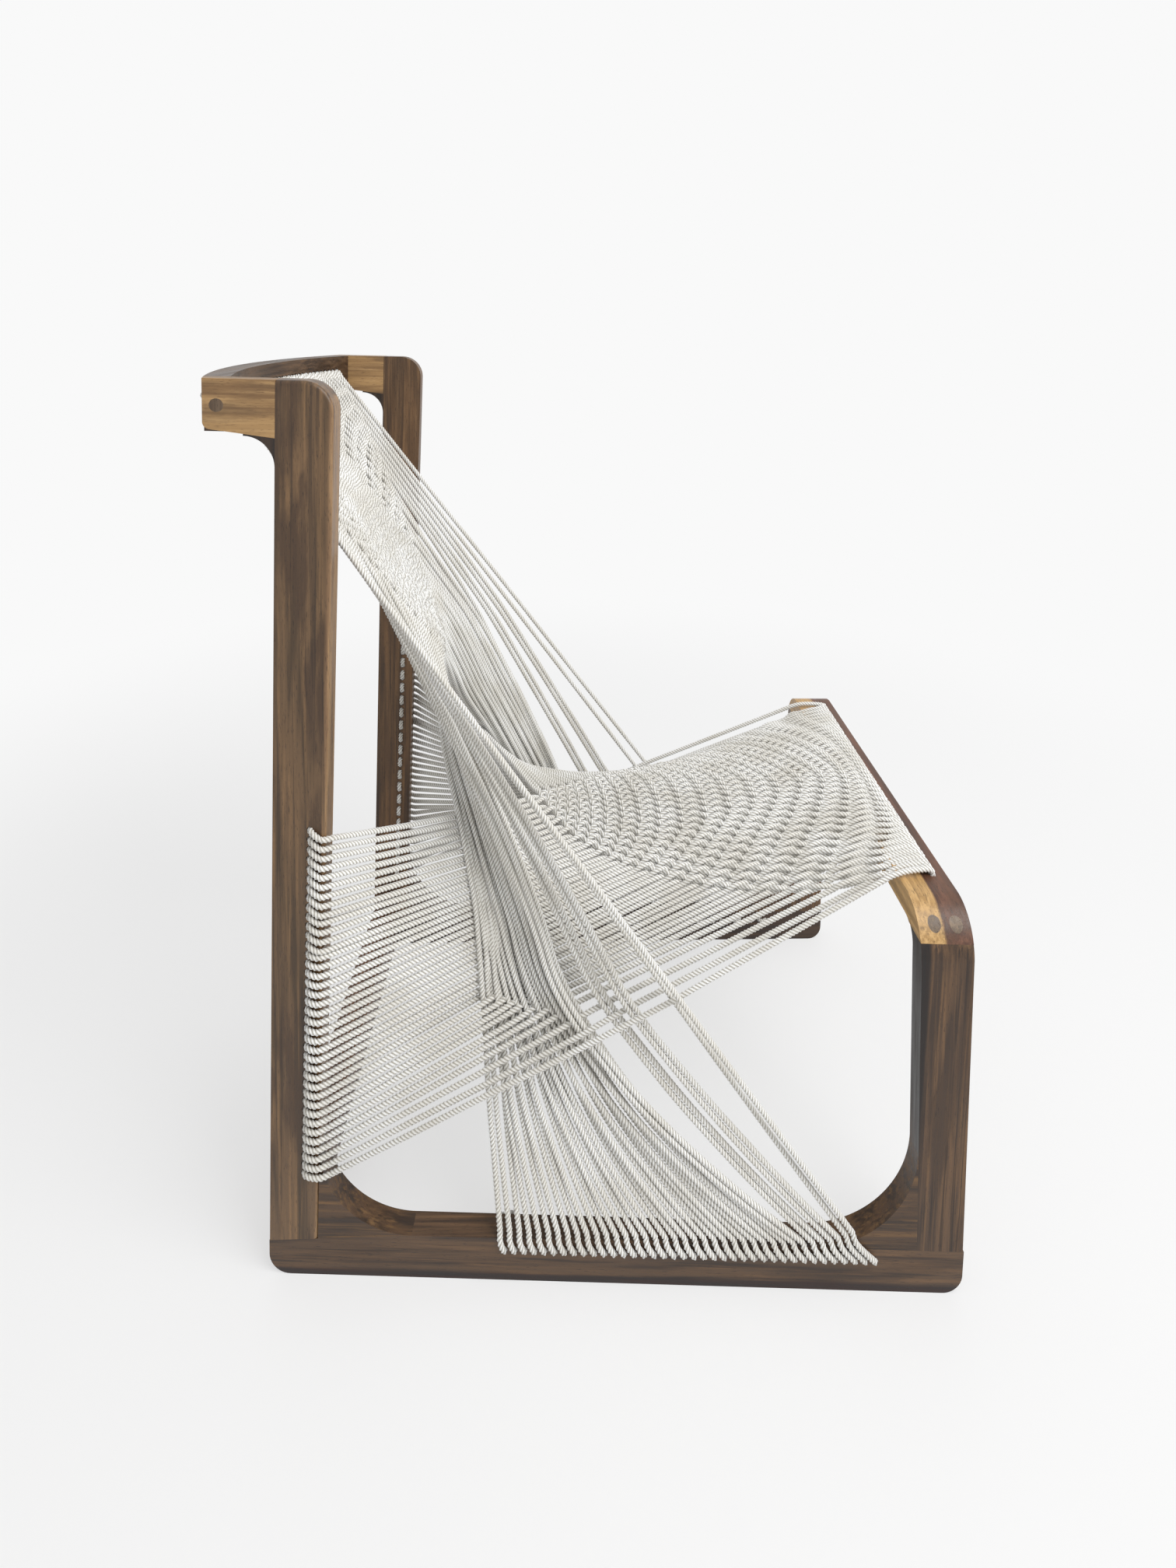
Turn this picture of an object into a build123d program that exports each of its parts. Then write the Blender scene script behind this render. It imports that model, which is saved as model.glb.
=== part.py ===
from build123d import *
from math import asin, cos, hypot, pi, radians, sin, sqrt, tan
import os

# A Lamu chair, in millimetres: a dark hardwood frame with a seat and a back of laced rope.
# +Z is up, the sitter faces -Y, and the sitter's right is -X. The origin is on the floor,
# at the centre of the chair's outline.

# ---------------------------------------------------------------- driving dimensions
OVERALL_HEIGHT = 930.0
BOARD = 25.0                  # thickness of every board
REAR_WIDTH = 502.0            # over the uprights' outer faces
SPLAY = 1.56                  # each side frame opens this many degrees towards the front
SIDE_LENGTH = 716.4           # length of a bottom rail
REAR_Y = 307.5                # the bottom rail's rear end

UPRIGHT_FOOT_DEPTH = 49.4
UPRIGHT_TOP_DEPTH = 55.7
UPRIGHT_LEAN = 12.0           # the rear edge's lean forward over the whole height
UPRIGHT_TOP_RADIUS = 30.0     # the rounded top front corner

RAIL_HEIGHT = 47.0            # bottom rail
RAIL_REAR_HEIGHT = 37.0       # where the upright stands on it
RAIL_SLOPE_LENGTH = 145.0     # its top slopes over this length to the rear end
RAIL_FRONT_RADIUS = 20.0
RAIL_REAR_RADIUS = 22.0

POST_FOOT_DEPTH = 46.2
POST_LEAN = 9.0               # the front edge's lean rearward up to the seat rail

SEAT_HEIGHT = 408.0           # top of the seat rail
SEAT_JOINT_DROP = 28.0        # the joint between post and seat rail lies this far below it
SEAT_RAIL_DEPTH = 53.0
SEAT_RAIL_END_RADIUS = 45.0   # its rounded ends, which run on into the posts

REAR_BLOCK_RADIUS = 95.0      # concave corner blocks
FRONT_BLOCK_RADIUS = 105.0
HEAD_CORNER_RADIUS = 30.0

CROSSRAIL_RADIUS = 735.0      # outer face of the bowed crossrail
CROSSRAIL_REAR_Y = 409.0      # the middle of that face
CROSSRAIL_HEIGHT = 54.0
HEAD_BLOCK_FRONT_HEIGHT = 56.0
HEAD_BLOCK_REAR_HEIGHT = 48.0
HEAD_BLOCK_REAR_RADIUS = 7.0

STRETCHER_DEPTH = 36.0
STRETCHER_HEIGHT = 54.0

EDGE_ROUND = 4.0              # worn edges of the boards

HEADROOM = 70.0               # how far the cutting tools reach above the chair

ROPE = 6.0                    # rope diameter
ROPE_HOLE = 6.4
SHARED_HOLE = 8.0             # a hole that takes two ropes
STRANDS = 38
UPRIGHT_HOLE_TOP = 483.8      # height of the top hole
UPRIGHT_HOLE_PITCH = 9.98
UPRIGHT_HOLE_INSET = 15.5     # behind the front edge
RAIL_HOLE_REAR_Y = 64.0
RAIL_HOLE_PITCH = 10.32
RAIL_HOLE_DROP = 13.5         # below the rail's top
SEAT_HOLE_INSET = 15.0        # behind the rail's front edge
CROSS_HOLE_MARGIN = 54.9      # from an outer face to the first hole of a rail between the sides
CROSSRAIL_HOLE_DROP = 21.5    # below the crossrail's top

CROSSRAIL_DOWEL = 13.0
CROSSRAIL_DOWEL_LENGTH = 43.0
CROSSRAIL_DOWEL_DROP = 25.5
DOWEL = 10.0
DOWEL_LENGTH = 40.0
SMALL_DOWEL = 6.0
SMALL_DOWEL_LENGTH = 16.0
BLOCK_DOWEL_SHARE = 0.45      # how far along a corner block's leg its dowel is
STRETCHER_DOWEL_SHARES = (0.3, 0.8)    # of the bottom rail's rear height
DOWEL_PITCH = 22.0            # between a pair of dowels
PLUG = 13.0
PLUG_LENGTH = 8.0
PLUG_TILT = 10.0              # degrees from upright, so that the screws stay in the posts
PLUG_SHIFT = -1.0
PLUG_PITCH = 22.0
SCREW = 4.5
SCREW_HEAD = 8.5
SCREW_HEAD_LENGTH = 3.5
SCREW_LENGTH = 48.0

SHARED_GAP = 6.2              # between the middles of two ropes that share a hole
BACK_LAYER = 6.6              # the crowded back strands lie in three layers this far apart
BACK_PULL_LEAST = 0.02
FOLD = 3.2                    # centre radius where a rope folds over an edge or into a hole
TURN_SHARE = 0.45             # of a run, the most that a turn at its end takes up
KNOT = 12.0
SEAT_DIP_TOP = 9.0            # a seat strand drops this much on the upright's outer face
SEAT_DIP_BOTTOM = 3.0
SEAT_PULL = (34.0, 27.0, -28.0)    # how far the back rope pushes the top seat strand aside
SEAT_PULL_PLACE = 0.27        # where along the strand, from the upright
SEAT_PULL_FADE = 22.0         # the push fades out over this many strands
SEAT_PULL_LEAST = 0.3
BACK_PULL = (-68.0, -47.0, 52.0)   # how far the seat rope pushes the rear back strand aside
BACK_PULL_PLACE = 0.4
BACK_PULL_FADE = 16.5

# ---------------------------------------------------------------- derived places
FRONT_Y = REAR_Y - SIDE_LENGTH
REAR_HALF = REAR_WIDTH / 2
POST_TOP = SEAT_HEIGHT - SEAT_JOINT_DROP
CROSS_HOLE_PITCH = (REAR_WIDTH - 2 * CROSS_HOLE_MARGIN) / (STRANDS - 1)
SEAT_UNDERSIDE = SEAT_HEIGHT - BOARD
SEAT_FRONT_Y = FRONT_Y + POST_LEAN
SEAT_REAR_Y = SEAT_FRONT_Y + SEAT_RAIL_DEPTH
CROSSRAIL_CENTRE_Y = CROSSRAIL_REAR_Y - CROSSRAIL_RADIUS
CROSSRAIL_INNER = CROSSRAIL_RADIUS - BOARD
CROSSRAIL_BOTTOM = OVERALL_HEIGHT - CROSSRAIL_HEIGHT
SIDE_PLACE = Pos(-REAR_HALF, REAR_Y, 0) * Rot(0, 0, -SPLAY)
ROPE_RADIUS = ROPE / 2
LIE = ROPE_RADIUS + 0.1       # a strand's centre above the face that it lies on
FAR = 2 * (OVERALL_HEIGHT + HEADROOM)    # length of a cutting tool that is centred on the floor


def rear_edge(z):
    """Y of an upright's rear edge at a height, in the side frame's own flat layout."""
    return REAR_Y - UPRIGHT_LEAN * z / OVERALL_HEIGHT


def front_edge(z):
    """Y of an upright's front edge at a height."""
    depth = UPRIGHT_FOOT_DEPTH + (UPRIGHT_TOP_DEPTH - UPRIGHT_FOOT_DEPTH) * z / OVERALL_HEIGHT
    return rear_edge(z) - depth


def rail_top(y):
    """Height of a bottom rail's top at a Y."""
    slope_start = REAR_Y - RAIL_SLOPE_LENGTH
    drop = (RAIL_HEIGHT - RAIL_REAR_HEIGHT) * (y - slope_start) / RAIL_SLOPE_LENGTH
    return RAIL_HEIGHT - max(0.0, drop)


def post_rear_edge(z):
    """Y of a front post's rear edge at a height."""
    foot = FRONT_Y + POST_FOOT_DEPTH
    return foot + (SEAT_REAR_Y - foot) * z / POST_TOP


def head_underside(y):
    """Height of a head block's underside at a Y."""
    front = rear_edge(OVERALL_HEIGHT)
    back = CROSSRAIL_CENTRE_Y + sqrt(CROSSRAIL_RADIUS**2 - REAR_HALF**2)
    share = (y - front) / (back - front)
    height = HEAD_BLOCK_FRONT_HEIGHT + (HEAD_BLOCK_REAR_HEIGHT - HEAD_BLOCK_FRONT_HEIGHT) * share
    return OVERALL_HEIGHT - height


def on_side(depth, y, z):
    """The point of the right side frame that lies this deep inside its outer face."""
    return (SIDE_PLACE * Pos(depth, y - REAR_Y, z)).position


def board(face, thickness=BOARD):
    """A board of the right side frame, cut to an outline given as Y and Z."""
    flat = Pos(0, -REAR_Y, 0) * extrude(face, thickness, dir=(1, 0, 0))
    return SIDE_PLACE * flat


def outline(*corners):
    """A closed face in the YZ plane with straight edges through the corners."""
    points = [(0, y, z) for y, z in corners]
    return make_face(Polyline(*points, close=True))


def other_side(shape):
    return mirror(shape, about=Plane.YZ)


def rod(start, end, diameter, head=0.0, head_length=0.0):
    """A round rod between two points, with an optional wider head at its start."""
    start = Vector(*start)
    end = Vector(*end)
    axis = end - start
    place = Plane(origin=start, z_dir=axis.normalized())
    shape = place * Cylinder(diameter / 2, axis.length, align=(Align.CENTER, Align.CENTER, Align.MIN))
    if head:
        cap = Cylinder(head / 2, head_length, align=(Align.CENTER, Align.CENTER, Align.MIN))
        shape = shape + place * cap
    return shape


# ---------------------------------------------------------------- side frames
def upright_holes():
    """Centres of the upright's rope holes, from the top, in the side frame's flat layout."""
    heights = [UPRIGHT_HOLE_TOP - i * UPRIGHT_HOLE_PITCH for i in range(STRANDS)]
    return [(front_edge(z) + UPRIGHT_HOLE_INSET, z) for z in heights]


def rail_holes():
    """Centres of the bottom rail's rope holes, from the rear."""
    places = [RAIL_HOLE_REAR_Y - i * RAIL_HOLE_PITCH for i in range(STRANDS)]
    return [(y, rail_top(y) - RAIL_HOLE_DROP) for y in places]


def drill_side(shape, centres):
    """Drills rope holes through a board of the right side frame."""
    drills = [rod(on_side(-1, y, z), on_side(BOARD + 1, y, z), ROPE_HOLE) for y, z in centres]
    return shape - drills


def upright_blank():
    """An upright's outline down to the floor, with its rounded front edges."""
    face = outline(
        (rear_edge(0), 0),
        (rear_edge(OVERALL_HEIGHT), OVERALL_HEIGHT),
        (front_edge(OVERALL_HEIGHT), OVERALL_HEIGHT),
        (front_edge(0), 0),
    )
    top_front = face.vertices().group_by(Axis.Z)[-1].sort_by(Axis.Y)[0]
    return board(fillet(top_front, UPRIGHT_TOP_RADIUS))


def rail_face():
    """A bottom rail's outline before its floor corners are rounded."""
    slope_start = REAR_Y - RAIL_SLOPE_LENGTH
    return outline(
        (FRONT_Y, 0),
        (REAR_Y, 0),
        (REAR_Y, RAIL_REAR_HEIGHT),
        (slope_start, RAIL_HEIGHT),
        (FRONT_Y, RAIL_HEIGHT),
    )


def rail_blank():
    face = rail_face()
    rear_corner = face.vertices().group_by(Axis.Z)[0].sort_by(Axis.Y)[-1]
    face = fillet(rear_corner, RAIL_REAR_RADIUS)
    front_corner = face.vertices().group_by(Axis.Z)[0].sort_by(Axis.Y)[0]
    return board(fillet(front_corner, RAIL_FRONT_RADIUS))


def make_upright():
    shape = upright_blank()
    tall = shape.edges().filter_by(lambda edge: edge.length > OVERALL_HEIGHT / 2)
    front_outer = tall.sort_by(lambda edge: edge.center().Y + edge.center().X)[:1]
    shape = fillet(front_outer, EDGE_ROUND) - board(rail_face())
    return drill_side(shape, upright_holes())


def make_bottom_rail():
    return drill_side(rail_blank(), rail_holes())


def make_post():
    face = outline(
        (FRONT_Y + POST_LEAN * RAIL_HEIGHT / POST_TOP, RAIL_HEIGHT),
        (post_rear_edge(RAIL_HEIGHT), RAIL_HEIGHT),
        (SEAT_REAR_Y, POST_TOP),
        (SEAT_FRONT_Y, POST_TOP),
    )
    return board(face, BOARD * 2) & arch()


def concave_block(top, foot, corner):
    """A corner block's outline: a concave quarter circle, and legs that run into its neighbours."""
    centre = (foot[0], top[1])
    away = (corner[0] - centre[0], corner[1] - centre[1])
    radius = abs(top[0] - foot[0])
    reach = hypot(*away)
    middle = (centre[0] + away[0] * radius / reach, centre[1] + away[1] * radius / reach)
    arc = ThreePointArc((0, *top), (0, *middle), (0, *foot))
    legs = Polyline((0, *foot), (0, foot[0], corner[1]), (0, *corner), (0, corner[0], top[1]), (0, *top))
    return board(make_face([arc, legs]))


def make_rear_corner_block():
    top_z = RAIL_HEIGHT + REAR_BLOCK_RADIUS
    top_y = front_edge(top_z)
    foot_y = top_y - REAR_BLOCK_RADIUS
    corner = (top_y + BOARD / 2, RAIL_REAR_HEIGHT / 2)
    block = concave_block((top_y, top_z), (foot_y, RAIL_HEIGHT), corner)
    return block - upright_blank() - rail_blank()


def make_front_corner_block():
    top_z = RAIL_HEIGHT + FRONT_BLOCK_RADIUS
    top_y = post_rear_edge(top_z)
    foot_y = top_y + FRONT_BLOCK_RADIUS
    corner = (top_y - BOARD / 2, RAIL_REAR_HEIGHT / 2)
    block = concave_block((top_y, top_z), (foot_y, RAIL_HEIGHT), corner)
    return block - make_post() - rail_blank()


def side_front(z):
    """Y of the front of the upright and its corner block at a height."""
    top_z = RAIL_HEIGHT + REAR_BLOCK_RADIUS
    if z >= top_z:
        return front_edge(z)
    centre_y = front_edge(top_z) - REAR_BLOCK_RADIUS
    return centre_y + sqrt(REAR_BLOCK_RADIUS**2 - (top_z - z) ** 2)


def side_top(y):
    """Height of the top of the bottom rail and its front corner block at a Y."""
    top_z = RAIL_HEIGHT + FRONT_BLOCK_RADIUS
    foot_y = post_rear_edge(top_z) + FRONT_BLOCK_RADIUS
    if y >= foot_y:
        return rail_top(y)
    return top_z - sqrt(FRONT_BLOCK_RADIUS**2 - (foot_y - y) ** 2)


# ---------------------------------------------------------------- head and crossrail
def arc_disc(radius):
    """A tall disc about the crossrail's centre of curvature."""
    disc = Cylinder(radius, FAR, align=(Align.CENTER, Align.CENTER, Align.CENTER))
    return Pos(0, CROSSRAIL_CENTRE_Y, 0) * disc


def head_stock():
    """The board above the head block's underside, before it is cut to length."""
    front = rear_edge(OVERALL_HEIGHT) - BOARD / 2
    back = CROSSRAIL_REAR_Y
    return board(
        outline(
            (front, head_underside(front)),
            (back, head_underside(back)),
            (back, OVERALL_HEIGHT),
            (front, OVERALL_HEIGHT),
        )
    )


def make_head_block():
    shape = head_stock() & arc_disc(CROSSRAIL_RADIUS)
    low_rear = shape.edges().filter_by(lambda edge: edge.length < BOARD * 1.5)
    low_rear = low_rear.filter_by(lambda edge: edge.center().Y > REAR_Y + BOARD).sort_by(Axis.Z)
    return fillet(low_rear[:1], HEAD_BLOCK_REAR_RADIUS) - upright_blank()


def make_head_corner_block():
    start = rear_edge(OVERALL_HEIGHT)
    low_z = head_underside(start + HEAD_CORNER_RADIUS / 2) - HEAD_CORNER_RADIUS
    top = (rear_edge(low_z), low_z)
    corner = (start - BOARD / 2, OVERALL_HEIGHT - HEAD_BLOCK_REAR_HEIGHT / 2)
    block = concave_block(top, (top[0] + HEAD_CORNER_RADIUS, low_z + HEAD_CORNER_RADIUS), corner)
    return block - upright_blank() - head_stock()


def between_sides():
    """A block that fills the space between the side frames' inner faces."""
    near_rear = on_side(BOARD, REAR_Y + FAR / 4, 0)
    near_front = on_side(BOARD, FRONT_Y - FAR / 4, 0)
    corners = [
        (near_rear.X, near_rear.Y),
        (-near_rear.X, near_rear.Y),
        (-near_front.X, near_front.Y),
        (near_front.X, near_front.Y),
    ]
    face = make_face(Polyline(*corners, close=True))
    return Pos(0, 0, -FAR / 2) * extrude(face, FAR)


def crossrail_holes():
    """X of the crossrail's rope holes, from the left end to the right."""
    return [CROSS_HOLE_PITCH * ((STRANDS - 1) / 2 - i) for i in range(STRANDS)]


def crossrail_point(x, depth, z=OVERALL_HEIGHT - CROSSRAIL_HOLE_DROP):
    """A point this deep behind the inner face, square to it, at the hole of that X."""
    angle = asin(x / CROSSRAIL_INNER)
    radius = CROSSRAIL_INNER + depth
    return Vector(radius * sin(angle), CROSSRAIL_CENTRE_Y + radius * cos(angle), z)


def make_crossrail():
    ring = arc_disc(CROSSRAIL_RADIUS) - arc_disc(CROSSRAIL_INNER)
    slab = Pos(0, CROSSRAIL_REAR_Y, CROSSRAIL_BOTTOM) * Box(
        REAR_WIDTH, REAR_WIDTH, CROSSRAIL_HEIGHT, align=(Align.CENTER, Align.CENTER, Align.MIN)
    )
    shape = ring & slab & between_sides()
    drills = []
    for x in crossrail_holes():
        drills.append(rod(crossrail_point(x, -1), crossrail_point(x, BOARD + 1), SHARED_HOLE))
    return shape - drills


def crossrail_dowel():
    """The right dowel: through the head block and along the crossrail's middle line."""
    z = OVERALL_HEIGHT - CROSSRAIL_DOWEL_DROP
    joint = crossrail_point(-REAR_HALF + BOARD, BOARD / 2, z)
    outer = crossrail_point(-REAR_HALF, BOARD / 2, z)
    axis = (joint - outer).normalized()
    column = rod(outer - axis * BOARD, outer + axis * CROSSRAIL_DOWEL_LENGTH, CROSSRAIL_DOWEL)
    return column & board(outline((0, 0), (FAR, 0), (FAR, FAR), (0, FAR)), REAR_HALF)


# ---------------------------------------------------------------- seat rail and stretcher
def arch_core(half_inset, top, radius):
    """Everything under a flat top with rounded ends, as far out as a depth in the side frames."""
    stations = []
    for y in (REAR_Y + BOARD, FRONT_Y - BOARD):
        point = on_side(half_inset, y, 0)
        half = -point.X
        corners = [
            (-half, point.Y, top - radius),
            (-half + radius * (1 - cos(pi / 4)), point.Y, top - radius * (1 - sin(pi / 4))),
            (-half + radius, point.Y, top),
        ]
        left = [(-x, y_, z) for x, y_, z in reversed(corners)]
        edges = [
            Line((-half, point.Y, 0), corners[0]),
            ThreePointArc(*corners),
            Line(corners[2], left[0]),
            ThreePointArc(*left),
            Line(left[2], (half, point.Y, 0)),
            Line((half, point.Y, 0), (-half, point.Y, 0)),
        ]
        stations.append(make_face(edges))
    return loft(stations, ruled=True)


def arch():
    """The seat rail and the posts as one bent board, before the joints are cut."""
    outer = arch_core(0, SEAT_HEIGHT, SEAT_RAIL_END_RADIUS)
    inner = arch_core(BOARD, SEAT_HEIGHT - BOARD, SEAT_RAIL_END_RADIUS - BOARD)
    return outer - inner


def seat_holes():
    """X of the seat rail's rope holes, from the left end to the right."""
    return [CROSS_HOLE_PITCH * ((STRANDS - 1) / 2 - i) for i in range(STRANDS)]


def make_seat_rail():
    slab = Pos(0, SEAT_FRONT_Y, POST_TOP) * Box(
        FAR / 2, SEAT_RAIL_DEPTH, BOARD * 2, align=(Align.CENTER, Align.MIN, Align.MIN)
    )
    shape = slab & arch()
    drills = []
    for x in seat_holes():
        y = SEAT_FRONT_Y + SEAT_HOLE_INSET
        drills.append(rod((x, y, SEAT_UNDERSIDE - 1), (x, y, SEAT_HEIGHT + 1), SHARED_HOLE))
    return shape - drills


def make_stretcher():
    width = REAR_WIDTH * 2
    slab = Pos(0, REAR_Y, 0) * Box(
        width, STRETCHER_DEPTH, STRETCHER_HEIGHT, align=(Align.CENTER, Align.MAX, Align.MIN)
    )
    return slab & between_sides()


# ---------------------------------------------------------------- dowels and screws
def flat_rod(y0, z0, y1, z1, diameter):
    """A rod in the middle of the side frame's boards."""
    return rod(on_side(BOARD / 2, y0, z0), on_side(BOARD / 2, y1, z1), diameter)


def upright_dowels():
    middle = (rear_edge(0) + front_edge(0)) / 2
    rods = []
    for shift in (-DOWEL_PITCH / 2, DOWEL_PITCH / 2):
        y = middle + shift
        seat = rail_top(y)
        rods.append(flat_rod(y, seat - DOWEL_LENGTH / 2, y, seat + DOWEL_LENGTH / 2, DOWEL))
    return rods


def post_dowels():
    middle = FRONT_Y + POST_FOOT_DEPTH / 2 + POST_LEAN / 2
    rods = []
    for shift in (-DOWEL_PITCH / 2, DOWEL_PITCH / 2):
        y = middle + shift
        low = RAIL_HEIGHT - DOWEL_LENGTH / 2
        rods.append(flat_rod(y, low, y, low + DOWEL_LENGTH, DOWEL))
    return rods


def head_dowels():
    middle = OVERALL_HEIGHT - HEAD_BLOCK_FRONT_HEIGHT / 2
    rods = []
    for shift in (-DOWEL_PITCH / 2, DOWEL_PITCH / 2):
        z = middle + shift
        y = rear_edge(z)
        rods.append(flat_rod(y - DOWEL_LENGTH / 2, z, y + DOWEL_LENGTH / 2, z, DOWEL))
    return rods


def corner_dowels():
    """Two dowels in each of the right side's large corner blocks."""
    half = SMALL_DOWEL_LENGTH / 2
    share = BLOCK_DOWEL_SHARE
    rods = []
    z = RAIL_HEIGHT + REAR_BLOCK_RADIUS * share
    y = front_edge(z)
    rods.append(flat_rod(y - half, z, y + half, z, SMALL_DOWEL))
    y = front_edge(RAIL_HEIGHT) - REAR_BLOCK_RADIUS * share
    z = rail_top(y)
    rods.append(flat_rod(y, z - half, y, z + half, SMALL_DOWEL))
    z = RAIL_HEIGHT + FRONT_BLOCK_RADIUS * share
    y = post_rear_edge(z)
    rods.append(flat_rod(y - half, z, y + half, z, SMALL_DOWEL))
    y = post_rear_edge(RAIL_HEIGHT) + FRONT_BLOCK_RADIUS * share
    rods.append(flat_rod(y, RAIL_HEIGHT - half, y, RAIL_HEIGHT + half, SMALL_DOWEL))
    return rods


def stretcher_dowels():
    """Two dowels one above the other, between the two that hold the upright."""
    rods = []
    y = (rear_edge(0) + front_edge(0)) / 2
    for share in STRETCHER_DOWEL_SHARES:
        z = RAIL_REAR_HEIGHT * share
        start = on_side(BOARD - SMALL_DOWEL_LENGTH, y, z)
        rods.append(rod(start, on_side(BOARD + SMALL_DOWEL_LENGTH, y, z), SMALL_DOWEL))
    return rods


def plug_axis(y):
    """Where a plug's axis leaves the rounded end, and its direction down into the post."""
    face = on_side(0, y, 0)
    radius = SEAT_RAIL_END_RADIUS
    x = face.X + radius * (1 - cos(pi / 4))
    z = SEAT_HEIGHT - radius * (1 - sin(pi / 4))
    tilt = radians(PLUG_TILT)
    return Vector(x, y, z), Vector(sin(tilt), 0, -cos(tilt))


def plug_places():
    """Y of the two plugs of an end."""
    middle = (SEAT_FRONT_Y + SEAT_REAR_Y) / 2 + PLUG_SHIFT
    return [middle - PLUG_PITCH / 2, middle + PLUG_PITCH / 2]


def seat_plugs():
    """The right end's plugs, cut off flush with the rail's rounded end."""
    skin = arch_core(0, SEAT_HEIGHT, SEAT_RAIL_END_RADIUS)
    plugs = []
    for y in plug_places():
        start, down = plug_axis(y)
        plugs.append(rod(start - down * PLUG, start + down * PLUG_LENGTH, PLUG) & skin)
    return plugs


def seat_screws():
    """The right end's countersunk screws, each under its plug."""
    screws = []
    for y in plug_places():
        start, down = plug_axis(y)
        top = start + down * PLUG_LENGTH
        screws.append(rod(top, top + down * SCREW_LENGTH, SCREW, SCREW_HEAD, SCREW_HEAD_LENGTH))
    return screws


# ---------------------------------------------------------------- ropes
def turn_radius(before, corner, after):
    """The largest radius that a tight rope's turn has between its two runs."""
    run_in = corner - before
    run_out = after - corner
    turn = radians(run_in.get_angle(run_out))
    return TURN_SHARE * min(run_in.length, run_out.length) / tan(turn / 2)


def tube(points, tight):
    """A rope along straight runs joined by arcs. The corners named tight fold over an edge."""
    radii = []
    for i in range(1, len(points) - 1):
        largest = turn_radius(*points[i - 1 : i + 2])
        radii.append(min(FOLD, largest) if i in tight else largest)
    path = FilletPolyline(*points, radius=radii)
    section = Plane(origin=path @ 0, z_dir=path % 0) * Circle(ROPE_RADIUS)
    shape = sweep(section, path=path)
    expected = pi * ROPE_RADIUS**2 * path.length
    if abs(shape.volume / expected - 1) > 0.01:
        print("rope volume differs", shape.volume, expected)
    return shape, path.length


def seat_strand(i, through):
    """The right lacing's strand from an upright hole round its edge to the seat rail.

    It goes through the shared hole, or ends beside the rope that does.
    """
    y, z = upright_holes()[i]
    dip = SEAT_DIP_TOP + (SEAT_DIP_BOTTOM - SEAT_DIP_TOP) * i / (STRANDS - 1)
    edge = on_side(-LIE, side_front(z - dip) + 1, z - dip)
    x = seat_holes()[i]
    top = SEAT_HEIGHT + LIE
    hole = Vector(x, SEAT_FRONT_Y + SEAT_HOLE_INSET, top)
    lip_y = SEAT_REAR_Y - 1
    lip_x = x + (edge.X - x) * (lip_y - hole.Y) / (edge.Y - hole.Y)
    lip = Vector(lip_x, lip_y, top)
    pull = max(SEAT_PULL_LEAST, 1 - i / SEAT_PULL_FADE)
    bend = edge + (lip - edge) * SEAT_PULL_PLACE + Vector(*SEAT_PULL) * pull
    points = [on_side(BOARD / 2, y, z), on_side(-LIE, y, z), edge, bend, lip]
    if through:
        return tube([*points, hole, Vector(x, hole.Y, SEAT_HEIGHT - BOARD / 2)], tight=(1, 2, 4, 5))
    aside = hole + (lip - hole).normalized() * SHARED_GAP
    return tube([*points, aside], tight=(1, 2, 4))


def back_strand(i, through):
    """The right lacing's strand from a bottom rail hole over its edge to the crossrail."""
    y, z = rail_holes()[i]
    x = crossrail_holes()[i]
    hole = crossrail_point(x, -LIE)
    lean = (hole.Y - y) / (hole.Z - z)
    edge_y = y
    for _ in range(3):
        edge_y = y + lean * (side_top(edge_y) + 1 - z)
    edge = on_side(-LIE, edge_y, side_top(edge_y) + 1)
    pull = max(BACK_PULL_LEAST, 1 - i / BACK_PULL_FADE)
    layer = (i % 3 - 1) * BACK_LAYER * min(1.0, pull * 2)
    aside = Vector(*BACK_PULL).normalized() * layer
    bend = edge + (hole - edge) * BACK_PULL_PLACE + Vector(*BACK_PULL) * pull + aside
    points = [on_side(BOARD / 2, y, z), on_side(-LIE, y, z), edge, bend]
    if through:
        return tube([*points, hole, crossrail_point(x, BOARD / 2)], tight=(1, 2, 4))
    return tube([*points, hole + (bend - hole).normalized() * SHARED_GAP], tight=(1, 2))


def knot(start, out):
    """A rope's end: from the middle of the board to a round stopper knot on its face."""
    reach = out.normalized() * (out.length + KNOT / 2 - LIE + 0.05)
    return rod(start, start + reach, ROPE) + Pos(*(start + reach)) * Sphere(KNOT / 2)


def side_ends(centres):
    """Middles of a side frame's rope holes, and the way out to the inner face."""
    starts = [on_side(BOARD / 2, y, z) for y, z in centres]
    out = on_side(BOARD + LIE, 0, 0) - on_side(BOARD / 2, 0, 0)
    return starts, [out] * len(starts)


def seat_rail_ends():
    y = SEAT_FRONT_Y + SEAT_HOLE_INSET
    starts = [Vector(x, y, SEAT_HEIGHT - BOARD / 2) for x in seat_holes()]
    return starts, [Vector(0, 0, -BOARD / 2 - LIE)] * len(starts)


def crossrail_ends():
    starts = [crossrail_point(x, BOARD / 2) for x in crossrail_holes()]
    outs = [crossrail_point(x, BOARD + LIE) - crossrail_point(x, BOARD / 2) for x in crossrail_holes()]
    return starts, outs


def loops_between(ends, first):
    """Loops that join holes first and first + 1, first + 2 and first + 3, and so on."""
    starts, outs = ends
    made = []
    for i in range(first, len(starts) - 1, 2):
        points = [starts[i], starts[i] + outs[i], starts[i + 1] + outs[i + 1], starts[i + 1]]
        made.append(tube(points, tight=(1, 2)))
    return made


def links_between(ends, first):
    """The other rope's short lengths between those loops, along the same face."""
    starts, outs = ends
    made = []
    for i in range(first, len(starts) - 1, 2):
        one = starts[i] + outs[i]
        other = starts[i + 1] + outs[i + 1]
        inset = (other - one).normalized() * SHARED_GAP
        made.append((rod(one + inset, other - inset, ROPE), (other - one).length))
    return made


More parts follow.
